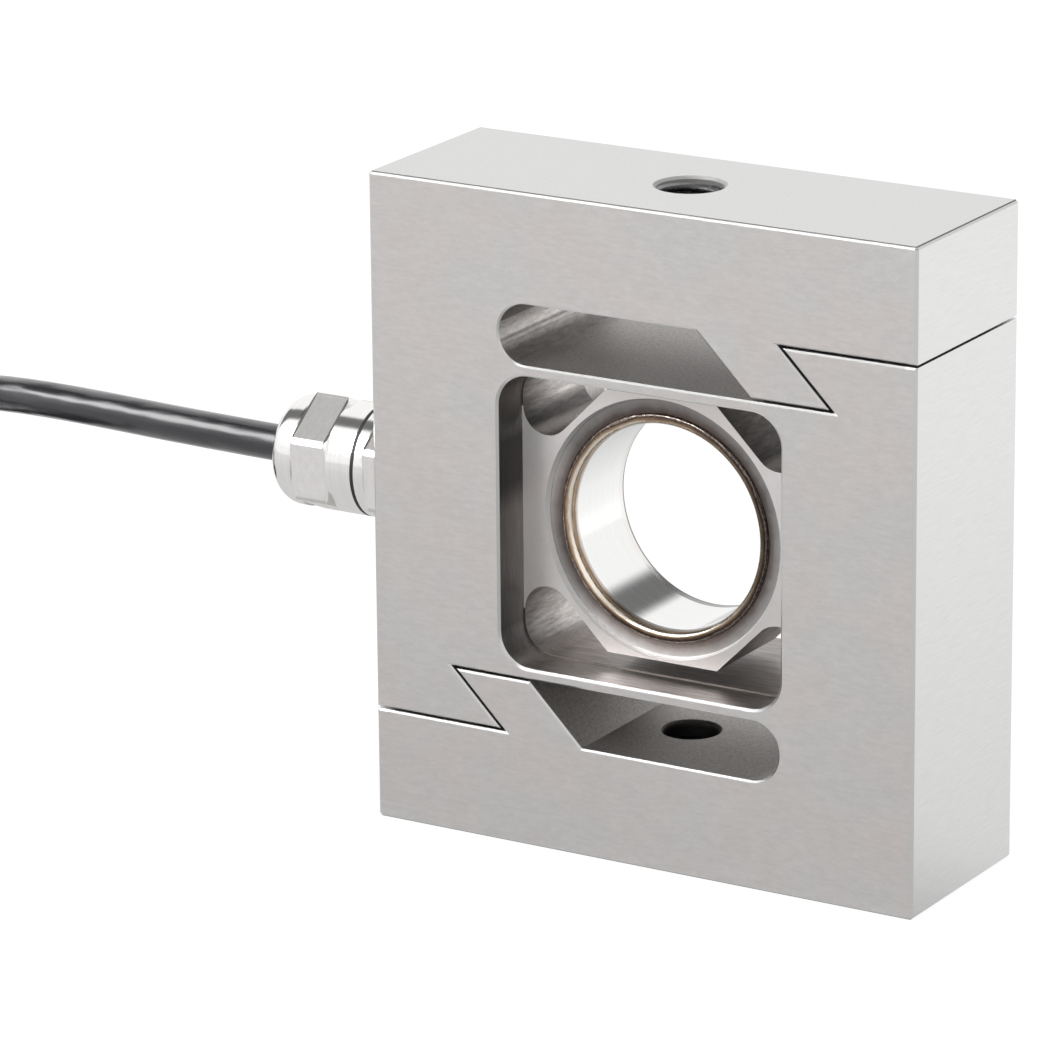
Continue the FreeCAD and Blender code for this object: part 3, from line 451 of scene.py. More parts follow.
@dataclass(frozen=True)
class BlockSteel:
    """Ground faces, bevels with painted light and shade, spark-cut slots with a painted sheen at their
    round ends, a milled recess with painted light and shade on its walls, and the tinted weld ring
    with painted light and shade round it.

    Every tool mark is one noise, whose direction and strength are chosen by the place.
    """

    sizes: BlockSizes = BlockSizes()
    warm: Colour = (0.757, 0.712, 0.698)
    cool: Colour = (0.733, 0.722, 0.712)
    plain: Colour = (0.745, 0.744, 0.738)
    # bright is the bevels' lit colour and the ring wall's; shadow is painted shade, on the bevels
    # beside the top and bottom faces and on the recess's upright walls.
    bright: Colour = (0.74, 0.74, 0.735)
    shadow: Colour = (0.16, 0.152, 0.146)
    # relief is the lit copy of the recess's upright walls in the reliefs.
    relief: Colour = (0.46, 0.435, 0.42)
    spark: Colour = (1.0, 0.955, 0.925)
    milled: Colour = (0.40, 0.375, 0.36)
    floor: Colour = (0.47, 0.44, 0.425)
    # ledge is painted shade on the recess's ledge.
    ledge: Colour = (0.17, 0.155, 0.145)
    ground_depth: float = 0.0000025
    rough_depth: float = 0.000012
    ground_marks: float = 0.11
    slot_marks: float = 0.5
    recess_marks: float = 0.7
    calm_marks: float = 0.35
    web_marks: float = 0.05
    ring_marks: float = 0.24
    smooth: float = 0.3
    ground_rough: float = 0.38
    recess_rough: float = 0.42
    slot_rough: float = 0.5
    hole_rough: float = 0.55

    def build(self, effects: Effects) -> Material:
        """Make the material.

        Args:
            effects: The shared node groups.

        Returns:
            The finished material.
        """
        finish = Finish("block_steel", (0.0, 0.0, 0.04), Metallic=1.0)
        graph = finish.graph
        where = Regions(finish, self.sizes)
        marks = graph.group(effects.marks, Vector=finish.place)
        lines = self._lines(finish, effects, where)
        ground = graph.mix(marks.outputs["Smudge"], self.warm, self.cool)
        ground = graph.mix(graph.span(where.front, 0.7, 0.9), self.plain, ground)
        colour = graph.mix(where.slot, ground, self._slot_colour(graph, where))
        colour = graph.mix(where.recess, colour, self._recess_colour(graph, where))
        # Painted sheen on the web face, lighter towards the left and the top.
        painted_sheen = graph.product(graph.line(where.x, -18.5, 0.0, 1.14, 0.98),
                              graph.line(where.z, -9.0, 9.0, 0.94, 1.06))
        colour = graph.mix(where.web, colour, graph.shaded(ground, painted_sheen))
        away = graph.line(where.radius, self.sizes.bead_foot - 0.2, self.sizes.ring_wall)
        tinted = graph.group(effects.heat, Vector=finish.place, Distance=away, Metal=ground)
        # Painted light and shade on the heat tint round the bore.
        tinted = graph.shaded(tinted.outputs["Colour"], self._painted_ring_light(graph, where))
        # Painted highlight at the bottom of the ring's wall and painted shade towards its top.
        wall = graph.shaded(self.bright, graph.line(where.z, -3.0, 13.0, 1.35, 0.6))
        tinted = graph.mix(where.ring_wall, tinted, wall)
        colour = graph.mix(where.ring, colour, tinted)
        shade = self._shade(graph, where, lines, marks.outputs["Scratch"])
        colour = graph.shaded(colour, shade)
        bevels, edge, under = self._bevels(graph, where, ground)
        nook = graph.product(where.web, graph.span(where.x, -18.8, -14.5, 0.55, 0.0))
        matt = graph.largest(nook, graph.product(where.ring_wall, 0.6), graph.product(where.hole, 0.7),
                             under)
        finish.set(Base_Color=graph.mix(bevels, colour, edge), Metallic=graph.other(matt))
        rough = graph.line(lines, 0.0, 1.0, self.smooth, self.ground_rough)
        for region, value in ((where.recess, self.recess_rough), (where.slot, self.slot_rough),
                              (where.hole, self.hole_rough), (bevels, self.smooth)):
            rough = graph.between(region, rough, value)
        finish.set(Roughness=rough)
        inner = graph.largest(where.slot, where.recess)
        finish.relief(lines, graph.between(inner, self.ground_depth, self.rough_depth))
        return finish.material

    def _painted_ring_light(self, graph: Graph, where: Regions) -> Socket:
        """Return the painted light and shade of the turned ring round the bore, lightest low on the
        left.
        """
        turn = graph.line(graph.math("ARCTAN2", where.z, where.x), -math.pi, math.pi)
        return graph.levels(turn, PAINTED_RING_LIGHT)

    def _lines(self, finish: Finish, effects: Effects, where: Regions) -> Socket:
        """Return the tool marks, drawn out along the way that the tool ran in each region."""
        graph = finish.graph
        stretch = graph.mix(graph.span(where.side, 0.8, 0.9), (0.7, 2.6, 2.6), (4.0, 0.25, 4.0))
        stretch = graph.mix(graph.span(where.level, 0.8, 0.9), stretch, (3.0, 1.6, 0.5))
        flat = graph.largest(where.same_side, graph.span(where.facing[2], 0.95, 0.99))
        cut = graph.mix(flat, (2.2, 0.5, 2.2), (3.6, 2.0, 3.6))
        stretch = graph.mix(where.slot, stretch, cut)
        turned = graph.span(where.side, 0.3, 0.6)
        rim = graph.span(where.deep, self.sizes.web_face - 0.1, self.sizes.web_face)
        upright = graph.mix(rim, (1.2, 0.3, 2.2), (1.8, 2.6, 0.22))
        mill = graph.mix(turned, (0.22, 2.6, 2.4), upright)
        stretch = graph.mix(where.recess, stretch, mill)
        stretch = graph.mix(where.web, stretch, (1.1, 1.1, 1.1))
        stretch = graph.mix(where.ring, stretch, (5.0, 5.0, 5.0))
        rings = graph.joined(where.radius, 0.0, 0.0)
        vector = graph.mix(where.ring, finish.place, rings)
        return graph.group(effects.grain, Vector=vector, Stretch=stretch).outputs["Lines"]

    def _slot_colour(self, graph: Graph, where: Regions) -> Socket:
        """Return the slot's colour: a painted sheen of light streaks where its round end turns
        upright.
        """
        turn = graph.line(where.facing[2], -1.0, 1.0)
        painted_sheen = graph.mix(where.same_side, graph.levels(turn, PAINTED_SLOT_SHEEN), (0.43, 0.43, 0.43))
        return graph.mix(1.0, self.spark, painted_sheen, Blend.MULTIPLY)

    def _recess_colour(self, graph: Graph, where: Regions) -> Socket:
        """Return the recess's colour: painted shade on its upright walls, painted light on them in the
        reliefs, a ledge with painted shade, and a lighter floor that darkens towards the right.
        """
        # Painted shade on the upright walls at the front, and painted light on them in the reliefs,
        # growing towards the back and towards the top.
        wall = graph.mix(graph.span(where.y, -12.5, -2.0), self.shadow, self.relief)
        wall = graph.shaded(wall, graph.line(where.y, -6.9, 12.0, 0.85, 1.9))
        high = graph.product(graph.line(where.z, 9.0, 17.0, 0.25, 2.1),
                             graph.span(where.facing[2], 0.1, 0.5, 1.0, 0.35))
        wall = graph.shaded(wall, graph.between(graph.span(where.z, 0.0, 4.0), 1.0, high))
        colour = graph.mix(graph.span(where.facing[0], 0.3, 0.8), self.milled, wall)
        # Painted shade on the ledge, a little lighter towards the right.
        ledge = graph.shaded(self.ledge, graph.line(where.x, -13.0, -6.0, 0.8, 1.0))
        colour = graph.mix(graph.span(where.front, 0.7, 0.9), colour, ledge)
        floor = graph.shaded(self.floor, graph.line(where.x, -12.0, 16.0, 0.96, 0.7))
        return graph.mix(graph.span(where.facing[2], 0.75, 0.95), colour, floor)

    def _shade(self, graph: Graph, where: Regions, lines: object, scratch: object) -> Socket:
        """Return how much lighter or darker the tool marks make each point, with painted shade in the
        holes and painted glints on their threads.

        Args:
            graph: The material's graph.
            where: The block's regions.
            lines: The tool marks.
            scratch: The mask of the hair-thin scratches.

        Returns:
            The factor for the colour.
        """
        spread = graph.between(where.slot, self.ground_marks, self.slot_marks)
        calm = graph.span(graph.product(where.facing[0], where.deep), 6.0, 6.9)
        recess = graph.between(calm, self.recess_marks, self.calm_marks)
        for region, value in ((where.recess, recess), (where.web, self.web_marks),
                              (where.ring, self.ring_marks)):
            spread = graph.between(region, spread, value)
        shade = graph.swing(lines, spread, 1.0)
        shade = graph.math("MULTIPLY_ADD", scratch, 0.05, shade)
        # Painted shade in the threaded holes, dark inside and lighter at both ends, and painted glints
        # on their threads.
        depth = graph.line(where.up, self.sizes.hole_bottom, self.sizes.half_height)
        painted_glints = graph.product(graph.span(lines, 0.62, 0.85, 0.0, 3.0),
                              graph.inside(where.up, 34.0, 39.0, 0.3))
        hole = graph.shaded(graph.levels(depth, PAINTED_HOLE_SHADE), graph.math("ADD", painted_glints, 1.0))
        return graph.product(shade, graph.mix(where.hole, (1.0, 1.0, 1.0), hole))

    def _bevels(self, graph: Graph, where: Regions, ground: object) -> tuple[Socket, ...]:
        """Work out the bevels' look: lit, with painted shade beside the top and bottom faces.

        Args:
            graph: The material's graph.
            where: The block's regions.
            ground: The colour of the ground faces.

        Returns:
            The bevels' mask, their colour, and the mask of the matt ones over the openings.
        """
        sizes = self.sizes
        rows = ((where.deep, sizes.half_depth), (where.across, sizes.half_width),
                (where.up, sizes.half_height))
        rim = graph.largest(*(graph.span(value, limit - sizes.bevel, limit - sizes.bevel + 0.08)
                              for value, limit in rows))
        flat = graph.largest(where.side, where.front, where.level)
        bevels = graph.product(rim, graph.span(flat, 0.78, 0.86, 1.0, 0.0), graph.other(where.hole))
        # Painted shade: bevels beside the top and bottom faces take the shadow colour, the others the
        # lit colour.
        upper = graph.line(where.up, sizes.half_height - sizes.bevel, sizes.half_height)
        edge = graph.mix(graph.span(upper, 0.55, 0.75), self.bright, self.shadow)
        slit_side = graph.product(where.same_side, graph.span(where.up, 18.4, 18.6))
        slit = graph.product(
            slit_side, graph.span(graph.product(where.side, where.level, where.front), 0.06, 0.12))
        round_end = graph.product(graph.span(where.facing[0], 0.3, 0.6),
                                  graph.span(where.across, 35.0, 35.5, 1.0, 0.0))
        inner = graph.product(graph.span(where.up, 34.0, 35.0, 1.0, 0.0),
                              graph.span(where.across, 34.6, 35.0, 1.0, 0.0))
        # Painted shade on the inner rims' bevels that face up.
        edge = graph.shaded(edge, graph.between(
            inner, 1.0, graph.line(where.facing[2], 0.3, 0.6, 1.0, 0.6)))
        beside = graph.product(slit_side, graph.span(where.across, 7.0, 9.0))
        under = graph.product(bevels, inner, graph.span(where.facing[2], -0.6, -0.3, 1.0, 0.0),
                              graph.other(beside))
        # Bevels at the slit and at the slot's round ends take the ground colour with painted shade, a
        # fifth darker.
        plain = graph.largest(slit, round_end)
        return bevels, graph.mix(plain, edge, graph.shaded(ground, 0.8)), under


@dataclass(frozen=True)
class SleeveSteel:
    """A bored and polished tube: nearly a mirror, with fine turning lines round it."""

    metal: Colour = (0.93, 0.93, 0.92)

    def build(self, effects: Effects) -> Material:
        """Make the material from the shared node groups."""
        finish = Finish("sleeve_steel", (0.0, 0.0, 0.04), Metallic=1.0)
        graph = finish.graph
        lines = graph.group(effects.grain, Vector=finish.place,
                            Stretch=(0.1, 7.0, 0.1)).outputs["Lines"]
        finish.set(Base_Color=graph.shaded(self.metal, graph.line(lines, 0.0, 1.0, 0.96, 1.03)),
                   Roughness=graph.line(lines, 0.0, 1.0, 0.08, 0.14))
        return finish.material


@dataclass(frozen=True)
class WeldSteel:
    """A rolled weld bead: rings of straw and brown oxide over small ripples, specked at its foot, with
    a painted highlight along its crest and painted shade on its right, top and bottom.
    """

    metal: Colour = (0.93, 0.91, 0.88)
    bore: float = 12.6
    sleeve_end: float = 4.8
    ring_floor: float = 6.1
    foot: float = 13.95

    def build(self, effects: Effects) -> Material:
        """Make the material from the shared node groups."""
        finish = Finish("weld_steel", (0.0, 0.0, 0.04), Metallic=1.0)
        graph = finish.graph
        x, y, z = graph.parts(finish.place)
        radius = graph.length(x, z)
        angle = graph.math("ARCTAN2", z, x)
        rise = self.ring_floor - self.sleeve_end
        deep = graph.line(graph.math("ABSOLUTE", y), self.sleeve_end, self.ring_floor, 0.0, rise)
        path = graph.math("ADD", deep, graph.math("SUBTRACT", radius, self.bore))
        across = graph.line(path, 0.0, self.foot - self.bore + rise)
        unrolled = graph.joined(graph.product(angle, self.foot), path, 0.0)
        ripple = graph.noise(graph.stretched(unrolled, (0.3, 1.5, 1.0)), 1.0, 4.0, 0.7)
        wander = graph.swing(ripple, 0.26, across)
        # Oxide rings across the bead, with a painted highlight: the near-white band along its crest.
        tint = graph.ramp(wander, (
            (0.0, (0.78, 0.75, 0.73)), (0.14, (0.60, 0.54, 0.50)), (0.26, (0.24, 0.17, 0.12)),
            (0.38, (0.36, 0.26, 0.17)), (0.47, (0.68, 0.50, 0.33)), (0.54, (1.0, 0.97, 0.92)),
            (0.62, (0.98, 0.92, 0.83)), (0.67, (0.70, 0.52, 0.35)), (0.76, (0.32, 0.22, 0.17)),
            (0.84, (0.10, 0.075, 0.065)), (0.90, (0.58, 0.50, 0.46)), (0.95, (0.11, 0.085, 0.075)),
            (1.0, (0.36, 0.32, 0.30))))
        clean = graph.ramp(across, (
            (0.0, (0.98, 0.98, 0.98)), (0.30, (0.98, 0.98, 0.98)), (0.36, (0.22, 0.21, 0.20)),
            (0.60, (0.45, 0.36, 0.28))))
        tint = graph.mix(graph.span(y, -1.0, 1.0), tint, clean)
        # Painted shade on the bead: darker to the right, towards the top and at the bottom.
        painted_bead_shade = graph.product(graph.line(x, 2.0, 13.0, 1.0, 0.3), graph.line(z, 4.0, 14.0, 1.0, 0.8),
                              graph.line(z, -12.0, -8.5, 0.4, 1.0))
        colour = graph.mix(1.0, self.metal, tint, Blend.MULTIPLY)
        specks = graph.noise(graph.stretched(unrolled, (2.6, 2.8, 1.0)), 1.0, 2.0, 0.7)
        specks = graph.between(graph.inside(across, 0.78, 1.1, 0.04), 1.0,
                               graph.line(specks, 0.38, 0.62, 0.6, 1.35))
        finish.set(Base_Color=graph.shaded(colour, graph.product(painted_bead_shade, specks)),
                   Roughness=graph.line(ripple, 0.3, 0.7, 0.12, 0.3))
        finish.relief(ripple, 0.00004)
        return finish.material


@dataclass(frozen=True)
class GlandMetal:
    """Nickel-plated brass: turned parts nearly polished, milled flats brushed across the axis, with
    painted shade on the flats that face up and painted light on the others.
    """

    plated: Colour = (0.96, 0.95, 0.935)
    flats: Colour = (0.94, 0.915, 0.90)
    axis: float = 0.0404
    corner: float = 7.5

    def build(self, effects: Effects) -> Material:
        """Make the material from the shared node groups."""
        finish = Finish("gland_metal", (0.0, 0.0, self.axis), Metallic=1.0)
        graph = finish.graph
        x, y, z = graph.parts(finish.place)
        out = graph.product(x, -1.0)
        face = graph.math("ABSOLUTE", graph.parts(finish.normal)[0])
        body = graph.inside(out, 36.2, 41.1, 0.02)
        nut = graph.inside(out, 47.05, 51.4, 0.02)
        flats = graph.product(graph.largest(body, nut), graph.span(face, 0.3, 0.5, 1.0, 0.0))
        stretch = graph.mix(flats, (5.0, 0.12, 0.12), (2.0, 1.0, 1.0))
        lines = graph.group(effects.grain, Vector=finish.place, Stretch=stretch).outputs["Lines"]
        shade = graph.line(lines, 0.0, 1.0, graph.between(flats, 0.94, 0.92),
                           graph.between(flats, 1.03, 1.05))
        # Painted light on the flats: darker where they face up, lighter where they face sideways or
        # down.
        upper = graph.line(graph.parts(finish.normal)[2], 0.1, 0.6, 1.06, 0.86)
        metal = graph.mix(flats, self.plated, graph.shaded(self.flats, upper))
        dome = graph.span(out, 51.5, 51.8)
        finish.set(Base_Color=graph.shaded(metal, shade),
                   Roughness=graph.between(flats, 0.14, 0.34))
        reach = graph.length(y, z)
        edge = graph.product(flats, graph.span(reach, self.corner - 0.16, self.corner - 0.03))
        near = graph.product(dome, graph.span(out, 53.0, 55.0, 0.75, 0.0))
        finish.relief(lines, graph.between(flats, 0.000002, 0.000003),
                      self._rounded(finish, y, z, graph.largest(edge, near)))
        return finish.material

    def _rounded(self, finish: Finish, y: object, z: object, share: object) -> Socket:
        """Return the normal, turned away from the axis by a share: worn corners, a full dome."""
        graph = finish.graph
        radial = graph.unit(graph.joined(0.0, y, z))
        return graph.unit(graph.mix(share, finish.normal, radial))


@dataclass(frozen=True)
class Jacket:
    """Glossy cable jacket: smooth, with slow unevenness along it."""

    name: str = "cable_jacket"
    colour: Colour = (0.012, 0.0115, 0.015)
    worn: Colour = (0.020, 0.019, 0.024)

    def build(self, effects: Effects) -> Material:
        """Make the material from the shared node groups."""
        finish = Finish(self.name, Specular_IOR_Level=0.5, Coat_Weight=0.8, Coat_Roughness=0.22)
        graph = finish.graph
        uneven = graph.noise(graph.stretched(finish.place, (0.07, 0.22, 0.22)), 1.0, 2.0, 0.6)
        marks = graph.group(effects.marks, Vector=finish.place)
        finish.set(Base_Color=graph.mix(marks.outputs["Smudge"], self.colour, self.worn),
                   Roughness=graph.line(uneven, 0.3, 0.7, 0.2, 0.3))
        finish.relief(uneven, 0.0009)
        return finish.material


@dataclass(frozen=True)
class Moulded:
    """A plastic, rubber, resin or lacquered piece: an even colour with a fine skin."""

    name: str
    colour: Colour
    roughness: float = 0.45
    metallic: float = 0.0
    scale: float = 2.0
    variation: float = 0.12
    depth: float = 0.000004

    def build(self, effects: Effects) -> Material:
        """Make the material from the shared node groups."""
        finish = Finish(self.name, Metallic=self.metallic)
        graph = finish.graph
        skin = graph.noise(finish.place, self.scale, 2.0, 0.6)
        marks = graph.group(effects.marks, Vector=finish.place)
        shade = graph.line(skin, 0.3, 0.7, 1.0 - self.variation, 1.0 + self.variation)
        shade = graph.product(shade, graph.line(marks.outputs["Smudge"], 0.0, 1.0, 0.95, 1.05))
        finish.set(Base_Color=graph.shaded(self.colour, shade),
                   Roughness=graph.line(skin, 0.3, 0.7, self.roughness - 0.06,
                                        self.roughness + 0.06))
        finish.relief(skin, self.depth)
        return finish.material


PLAIN_FINISHES = (
    Moulded("ring_rubber", (0.012, 0.012, 0.012), 0.5),
    Moulded("bush_rubber", (0.03, 0.03, 0.03), 0.6),
    Moulded("claw_plastic", (0.04, 0.04, 0.045), 0.4),
    Moulded("board_laminate", (0.02, 0.16, 0.06), 0.35),
    Moulded("resistor_ceramic", (0.05, 0.05, 0.06), 0.4),
    Moulded("potting_resin", (0.55, 0.42, 0.22), 0.3),
    Moulded("gauge_film", (0.50, 0.28, 0.08), 0.3),
    Moulded("lead_wire", (0.72, 0.36, 0.18), 0.3, 1.0),
    Moulded("shrink_sleeve", (0.02, 0.02, 0.022), 0.5),
    Moulded("core_red", (0.48, 0.02, 0.02), 0.35),
    Moulded("core_black", (0.02, 0.02, 0.02), 0.35),
    Moulded("core_green", (0.02, 0.22, 0.06), 0.35),
    Moulded("core_white", (0.80, 0.80, 0.78), 0.35),
    Moulded("drain_wire", (0.72, 0.70, 0.68), 0.35, 1.0, 6.0),
    Moulded("ferrule_tin", (0.76, 0.75, 0.74), 0.28, 1.0),
    Moulded("tie_strap", (0.03, 0.03, 0.033), 0.6, 0.0, 5.0),
)


def place_object(name: str, data: bpy.types.ID) -> Piece:
    """Make an object from its data and put it in the scene."""
    piece = bpy.data.objects.new(name, data)
    bpy.context.scene.collection.objects.link(piece)
    return piece


def mesh_object(name: str, vertices: np.ndarray, faces: np.ndarray, material: Material) -> Piece:
    """Make a smooth closed piece whose faces point outwards.

    Args:
        name: The piece's name.
        vertices: Points in the row frame, one a row, in metres.
        faces: The four corners of each face, one face a row.
        material: Its finish.

    Returns:
        The new object.
    """
    mesh = bpy.data.meshes.new(name)
    mesh.from_pydata(vertices.tolist(), [], faces.tolist())
    shaping = bmesh.new()
    shaping.from_mesh(mesh)
    bmesh.ops.recalc_face_normals(shaping, faces=shaping.faces)
    shaping.to_mesh(mesh)
    shaping.free()
    mesh.shade_smooth()
    mesh.materials.append(material)
    return place_object(name, mesh)


@dataclass
class ThreadRidge:
    """The ridge of an internal thread: a flat-topped section carried along a helix."""

    name: str
    bottom: float
    top: float
    root: float = 4.01
    crest: float = 3.36
    pitch: float = 1.25
    foot: float = 1.12
    land: float = 0.28
    steps: int = 56
    taper: float = 0.35

    def build(self, material: Material) -> Piece:
        """Make the ridge.

        A point at angle t lies at height bottom + pitch * t / (2 pi) plus the section's own
        offset. The crest sinks into the wall over the first and last part of a turn.

        Args:
            material: Its finish.

        Returns:
            The ridge as one closed piece.
        """
        turns = (self.top - self.bottom - self.foot) / self.pitch
        count = int(turns * self.steps) + 1
        along = np.linspace(0.0, turns, count)
        ease = np.clip(np.minimum(along, turns - along) / self.taper, 0.0, 1.0)
        crest = self.root - (self.root - self.crest) * ease
        radii = np.stack([np.full(count, self.root), crest, crest,
                          np.full(count, self.root)], axis=1)
        offsets = np.array([-self.foot, -self.land, self.land, self.foot]) / 2
        heights = self.bottom + self.foot / 2 + self.pitch * along[:, None] + offsets[None, :]
        angle = 2 * math.pi * along[:, None]
        points = np.stack([radii * np.cos(angle), radii * np.sin(angle), heights], axis=2)
        corners = offsets.size
        side = np.arange(corners)
        ahead = (side + 1) % corners
        first = np.arange(count - 1)[:, None] * corners
        after = first + corners
        walls = np.stack([first + side, first + ahead, after + ahead, after + side], axis=2)
        faces = np.vstack([walls.reshape(-1, 4), side, side + (count - 1) * corners])
        piece = mesh_object(self.name, points.reshape(-1, 3) * MM, faces, material)
        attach(piece, BODY)
        return piece


@dataclass
class Lead:
    """The cable from the gland down to its hank, and its far end inside the hank.

    The hank goes round two upright axes. The bends in it keep their radius round the far axis
    and step over to the next turn's radius round the near one.
    """

    radius: float = 2.25
    start: Point = (-36.25, 0.0, 40.4)
    exit: Point = (-55.6, 0.0, 40.4)
    length: float = 2850.0
    route: tuple[Point, ...] = (
        (-64.25, 0.0, 40.4), (-97.0, 3.6, 40.1), (-114.0, 8.6, 37.2), (-129.0, 13.2, 30.0),
        (-143.0, 15.6, 21.6), (-156.0, 16.0, 15.8), (-169.0, 16.0, 14.3))
    near: float = -134.0
    far: float = -218.0
    lowest: float = 2.75
    layer: float = 3.9
    narrow: tuple[float, ...] = (16.0, 20.5)
    wide: tuple[float, ...] = (22.75, 18.25, 13.75)
    bend_steps: int = 6
    tail: tuple[Point, ...] = (
        (-207.0, -14.1, 2.75), (-197.0, -13.2, 2.75), (-186.5, -8.2, 2.75),
        (-176.0, -2.4, 2.75), (-164.0, -1.0, 2.75))

    def turns(self) -> np.ndarray:
        """List each turn's radius and height, from the top layer to the bottom one."""
        rows = (self.narrow, self.wide, self.narrow, self.wide)
        return np.array([(radius, self.lowest + self.layer * (len(rows) - 1 - index))
                         for index, row in enumerate(rows) for radius in row])

    def bend(self, axis: float, first: float, sizes: np.ndarray) -> np.ndarray:
        """Work out the control points of a half turn, with one more before and after it.

        The points stand outside the bend by the cosine of half a step, so that the spline's
        runs touch it. The outer two lie a step away along the straight runs.

        Args:
            axis: Place of the bend's axis along X.
            first: Angle at which the bend starts, in radians.
            sizes: Radius and height at each point, one row for each.

        Returns:
            The points in millimetres, one a row.
        """
        half = math.pi / self.bend_steps / 2
        angles = first + half * (2 * np.arange(len(sizes)) - 1)
        reach = sizes[:, 0] / math.cos(half)
        return np.stack([axis + reach * np.cos(angles), reach * np.sin(angles), sizes[:, 1]],
                        axis=1)

    def hank(self) -> np.ndarray:
        """Work out the hank's control points, from where the cable joins it to its last bend."""
        turns = self.turns()
        count = self.bend_steps + 2
        ease = np.linspace(0.0, 1.0, count)[:, None]
        ease = ease * ease * (3 - 2 * ease)
        points = []
        for index, turn in enumerate(turns):
            points.append(self.bend(self.far, math.pi / 2, np.tile(turn, (count, 1))))
            if index + 1 < len(turns):
                sizes = turn + ease * (turns[index + 1] - turn)
                points.append(self.bend(self.near, -math.pi / 2, sizes))
        return np.vstack(points)

    def build(self, material: Material) -> Piece:
        """Args:
            material: The jacket's finish.

        Returns:
            The cable's curve.
        """
        points = np.vstack([np.array([self.start]), np.array(self.route), self.hank(),
                            np.array(self.tail[1:])]) * MM
        curve = bpy.data.curves.new("lead", "CURVE")
        curve.dimensions = "3D"
        curve.bevel_depth = self.radius * MM
        curve.bevel_resolution = 6
        curve.use_fill_caps = True
        curve.resolution_u = 6
        spline = curve.splines.new("NURBS")
        spline.points.add(len(points) - 1)
        weighted = np.hstack([points, np.ones((len(points), 1))])
        spline.points.foreach_set("co", weighted.ravel())
        spline.order_u = 3
        spline.use_endpoint_u = True
        curve.materials.append(material)
        piece = place_object("lead", curve)
        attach(piece, BODY)
        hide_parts("cable", "cable_hank", "cable_tail")
        return piece


class Cell:
    """The load cell itself: its CAD pieces with their finishes, and the thread ridges."""

    def __init__(self, effects: Effects) -> None:
        """Make every finish that the record names.

        Args:
            effects: The shared node groups.
        """
        makers = {"block_steel": BlockSteel(), "sleeve_steel": SleeveSteel(),
                  "weld_steel": WeldSteel(), "gland_metal": GlandMetal(),
                  "cable_jacket": Jacket()}
        makers.update({finish.name: finish for finish in PLAIN_FINISHES})
        self.finishes = {name: maker.build(effects) for name, maker in makers.items()}

    def dress(self) -> None:
        """Give each CAD node the finish that its slot is named for."""
        for name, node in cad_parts.items():
            for slot in node.material_slots:
                slot.material = self.finishes[slot.material.name.split(".")[0]]
            LOG.info("dressed %s", name)

    def add_threads(self) -> None:
        """Put the ridge of its thread into each hole."""
        steel = self.finishes["block_steel"]
        for ridge in (ThreadRidge("top_thread", bottom=69.0, top=79.75),
                      ThreadRidge("bottom_thread", bottom=0.25, top=11.0)):
            ridge.build(steel)
            LOG.info("made %s", ridge.name)


@dataclass
class Softbox:
    """A large soft lamp that looks at a point. Metal mirrors the surroundings instead of it."""

    name: str
    place: Point
    size: float
    power: float
    target: Point = (0.0, 0.0, 0.04)

    def build(self) -> None:
        """Make the lamp."""
        lamp = bpy.data.lights.new(self.name, "AREA")
        lamp.size = self.size
        lamp.energy = self.power
        piece = place_object(self.name, lamp)
        aim = (Vector(self.target) - Vector(self.place)).to_track_quat("-Z", "Y")
        piece.matrix_world = Matrix.Translation(self.place) @ aim.to_matrix().to_4x4()
        piece.visible_glossy = False


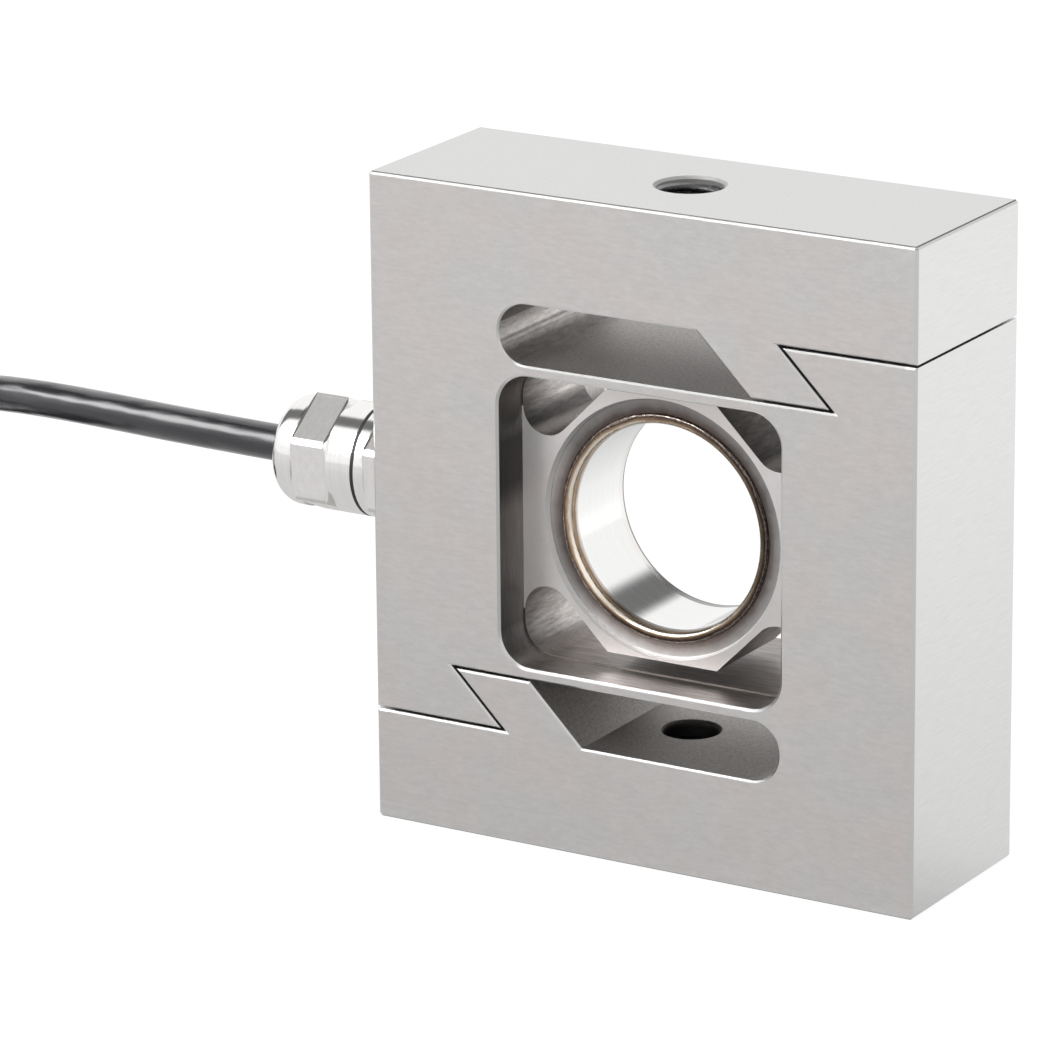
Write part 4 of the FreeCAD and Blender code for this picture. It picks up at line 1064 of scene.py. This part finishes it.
@dataclass
class Studio:
    """The camera, the pale floor, the white surroundings and the lamps."""

    camera_place: Point = (0.359547, -0.629425, 0.263942)
    camera_right: Point = (0.856246, 0.516485, -0.009297)
    camera_up: Point = (-0.145654, 0.258659, 0.954924)
    camera_back: Point = (0.495609, -0.816296, 0.296704)
    lens: float = 220.742
    sensor: float = 36.0
    floor_size: float = 8.0
    lamps: tuple[Softbox, ...] = (
        Softbox("overhead", (-0.1, 0.1, 1.1), 0.9, 6.0),
        Softbox("front_left", (-0.9, -0.9, 0.5), 0.8, 4.0),
    )

    def build_camera(self) -> None:
        """Stand the camera where the photograph was taken from."""
        lens = bpy.data.cameras.new("camera")
        lens.sensor_width = self.sensor
        lens.lens = self.lens
        lens.clip_start = 0.01
        piece = place_object("camera", lens)
        turn = Matrix((self.camera_right, self.camera_up, self.camera_back)).transposed()
        piece.matrix_world = Matrix.Translation(self.camera_place) @ turn.to_4x4()
        bpy.context.scene.camera = piece

    def build_floor(self) -> None:
        """Lay a white floor that keeps a faint shadow.

        Metal mirrors it a little darker towards the front, with a painted shadow close to the block,
        and behind the block darker on the left.
        """
        half = self.floor_size / 2
        corners = half * np.array([(-1, -1, 0), (1, -1, 0), (1, 1, 0), (-1, 1, 0)])
        material = bpy.data.materials.new("studio_floor")
        material.use_nodes = True
        graph = Graph(material.node_tree)
        x, y, _ = graph.parts(graph.add("ShaderNodeTexCoord").outputs["Object"])
        distance = graph.length(x, y)
        # Painted shadow: the glow that metal mirrors is darker close to the block.
        front = graph.line(distance, 0.02, 0.26, 0.60, 0.74)
        back = graph.product(graph.line(distance, 0.04, 0.22, 0.80, 0.98),
                             graph.line(x, -0.04, 0.02, 0.75, 1.12))
        seen, mirrored = graph.rays()
        level = graph.between(graph.span(y, -0.02, 0.02), front, back)
        level = graph.between(mirrored, 1.08, level)
        paper = graph.add("ShaderNodeBsdfDiffuse", {"Color": (0.86, 0.86, 0.86)})
        glow = graph.add("ShaderNodeEmission", {"Color": (1.0, 1.0, 1.0), "Strength": level})
        share = graph.math("MULTIPLY_ADD", seen, 0.85, mirrored)
        mixed = graph.add("ShaderNodeMixShader", {0: share, 1: paper.outputs[0],
                                                  2: glow.outputs[0]})
        graph.add("ShaderNodeOutputMaterial", {"Surface": mixed.outputs[0]})
        floor = mesh_object("studio_floor", corners, np.array([(0, 1, 2, 3)]), material)

    def build_world(self) -> None:
        """Surround the scene with white, and light it evenly.

        The camera sees plain white. Polished metal sees a bright screen at the front, a dark
        gap overhead between it and the backdrop, and a dark panel at the back.
        """
        world = bpy.data.worlds.new("studio")
        bpy.context.scene.world = world
        world.use_nodes = True
        graph = Graph(world.node_tree)
        direction = graph.add("ShaderNodeTexCoord").outputs["Generated"]
        x, y, z = graph.parts(direction)
        tilt = graph.math("DIVIDE", y, graph.math("MAXIMUM", z, 0.05))
        wide = graph.line(x, -0.8, -0.6, 0.45, 0.0)
        gap = graph.product(graph.span(tilt, -0.3, -0.2), graph.span(
            graph.math("SUBTRACT", tilt, wide), 0.17, 0.27, 1.0, 0.0), graph.span(z, 0.2, 0.4))
        screen = graph.product(graph.span(tilt, -0.55, -0.45, 1.0, 0.0), graph.span(z, 0.33, 0.43),
                               graph.span(x, -0.25, 0.0, 1.0, 0.0))
        aim = graph.vector("DOT_PRODUCT", direction, (0.043, 0.823, 0.566))
        panel = graph.span(aim.outputs["Value"], 0.96, 0.994)
        strength = graph.between(screen, 0.98, 8.0)
        strength = graph.between(gap, strength, 0.16)
        strength = graph.between(panel, strength, 0.17)
        seen, mirrored = graph.rays()
        level = graph.between(mirrored, 0.5, strength)
        level = graph.between(seen, level, 1.0)
        background = graph.add("ShaderNodeBackground", {
            "Color": (1.0, 1.0, 1.0), "Strength": level})
        graph.add("ShaderNodeOutputWorld", {"Surface": background.outputs[0]})

    def build(self) -> None:
        """Set up the whole studio."""
        self.build_camera()
        self.build_floor()
        self.build_world()
        for lamp in self.lamps:
            lamp.build()
            LOG.info("lit %s", lamp.name)


def main() -> None:
    """Build the studio, the lead and the cell."""
    logging.basicConfig(level=logging.INFO, format="%(message)s")
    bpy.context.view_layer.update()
    Studio().build()
    cell = Cell(Effects())
    Lead().build(cell.finishes["cable_jacket"])
    cell.dress()
    cell.add_threads()
    bpy.context.scene.view_settings.view_transform = "Standard"


if __name__ == "__main__":
    main()
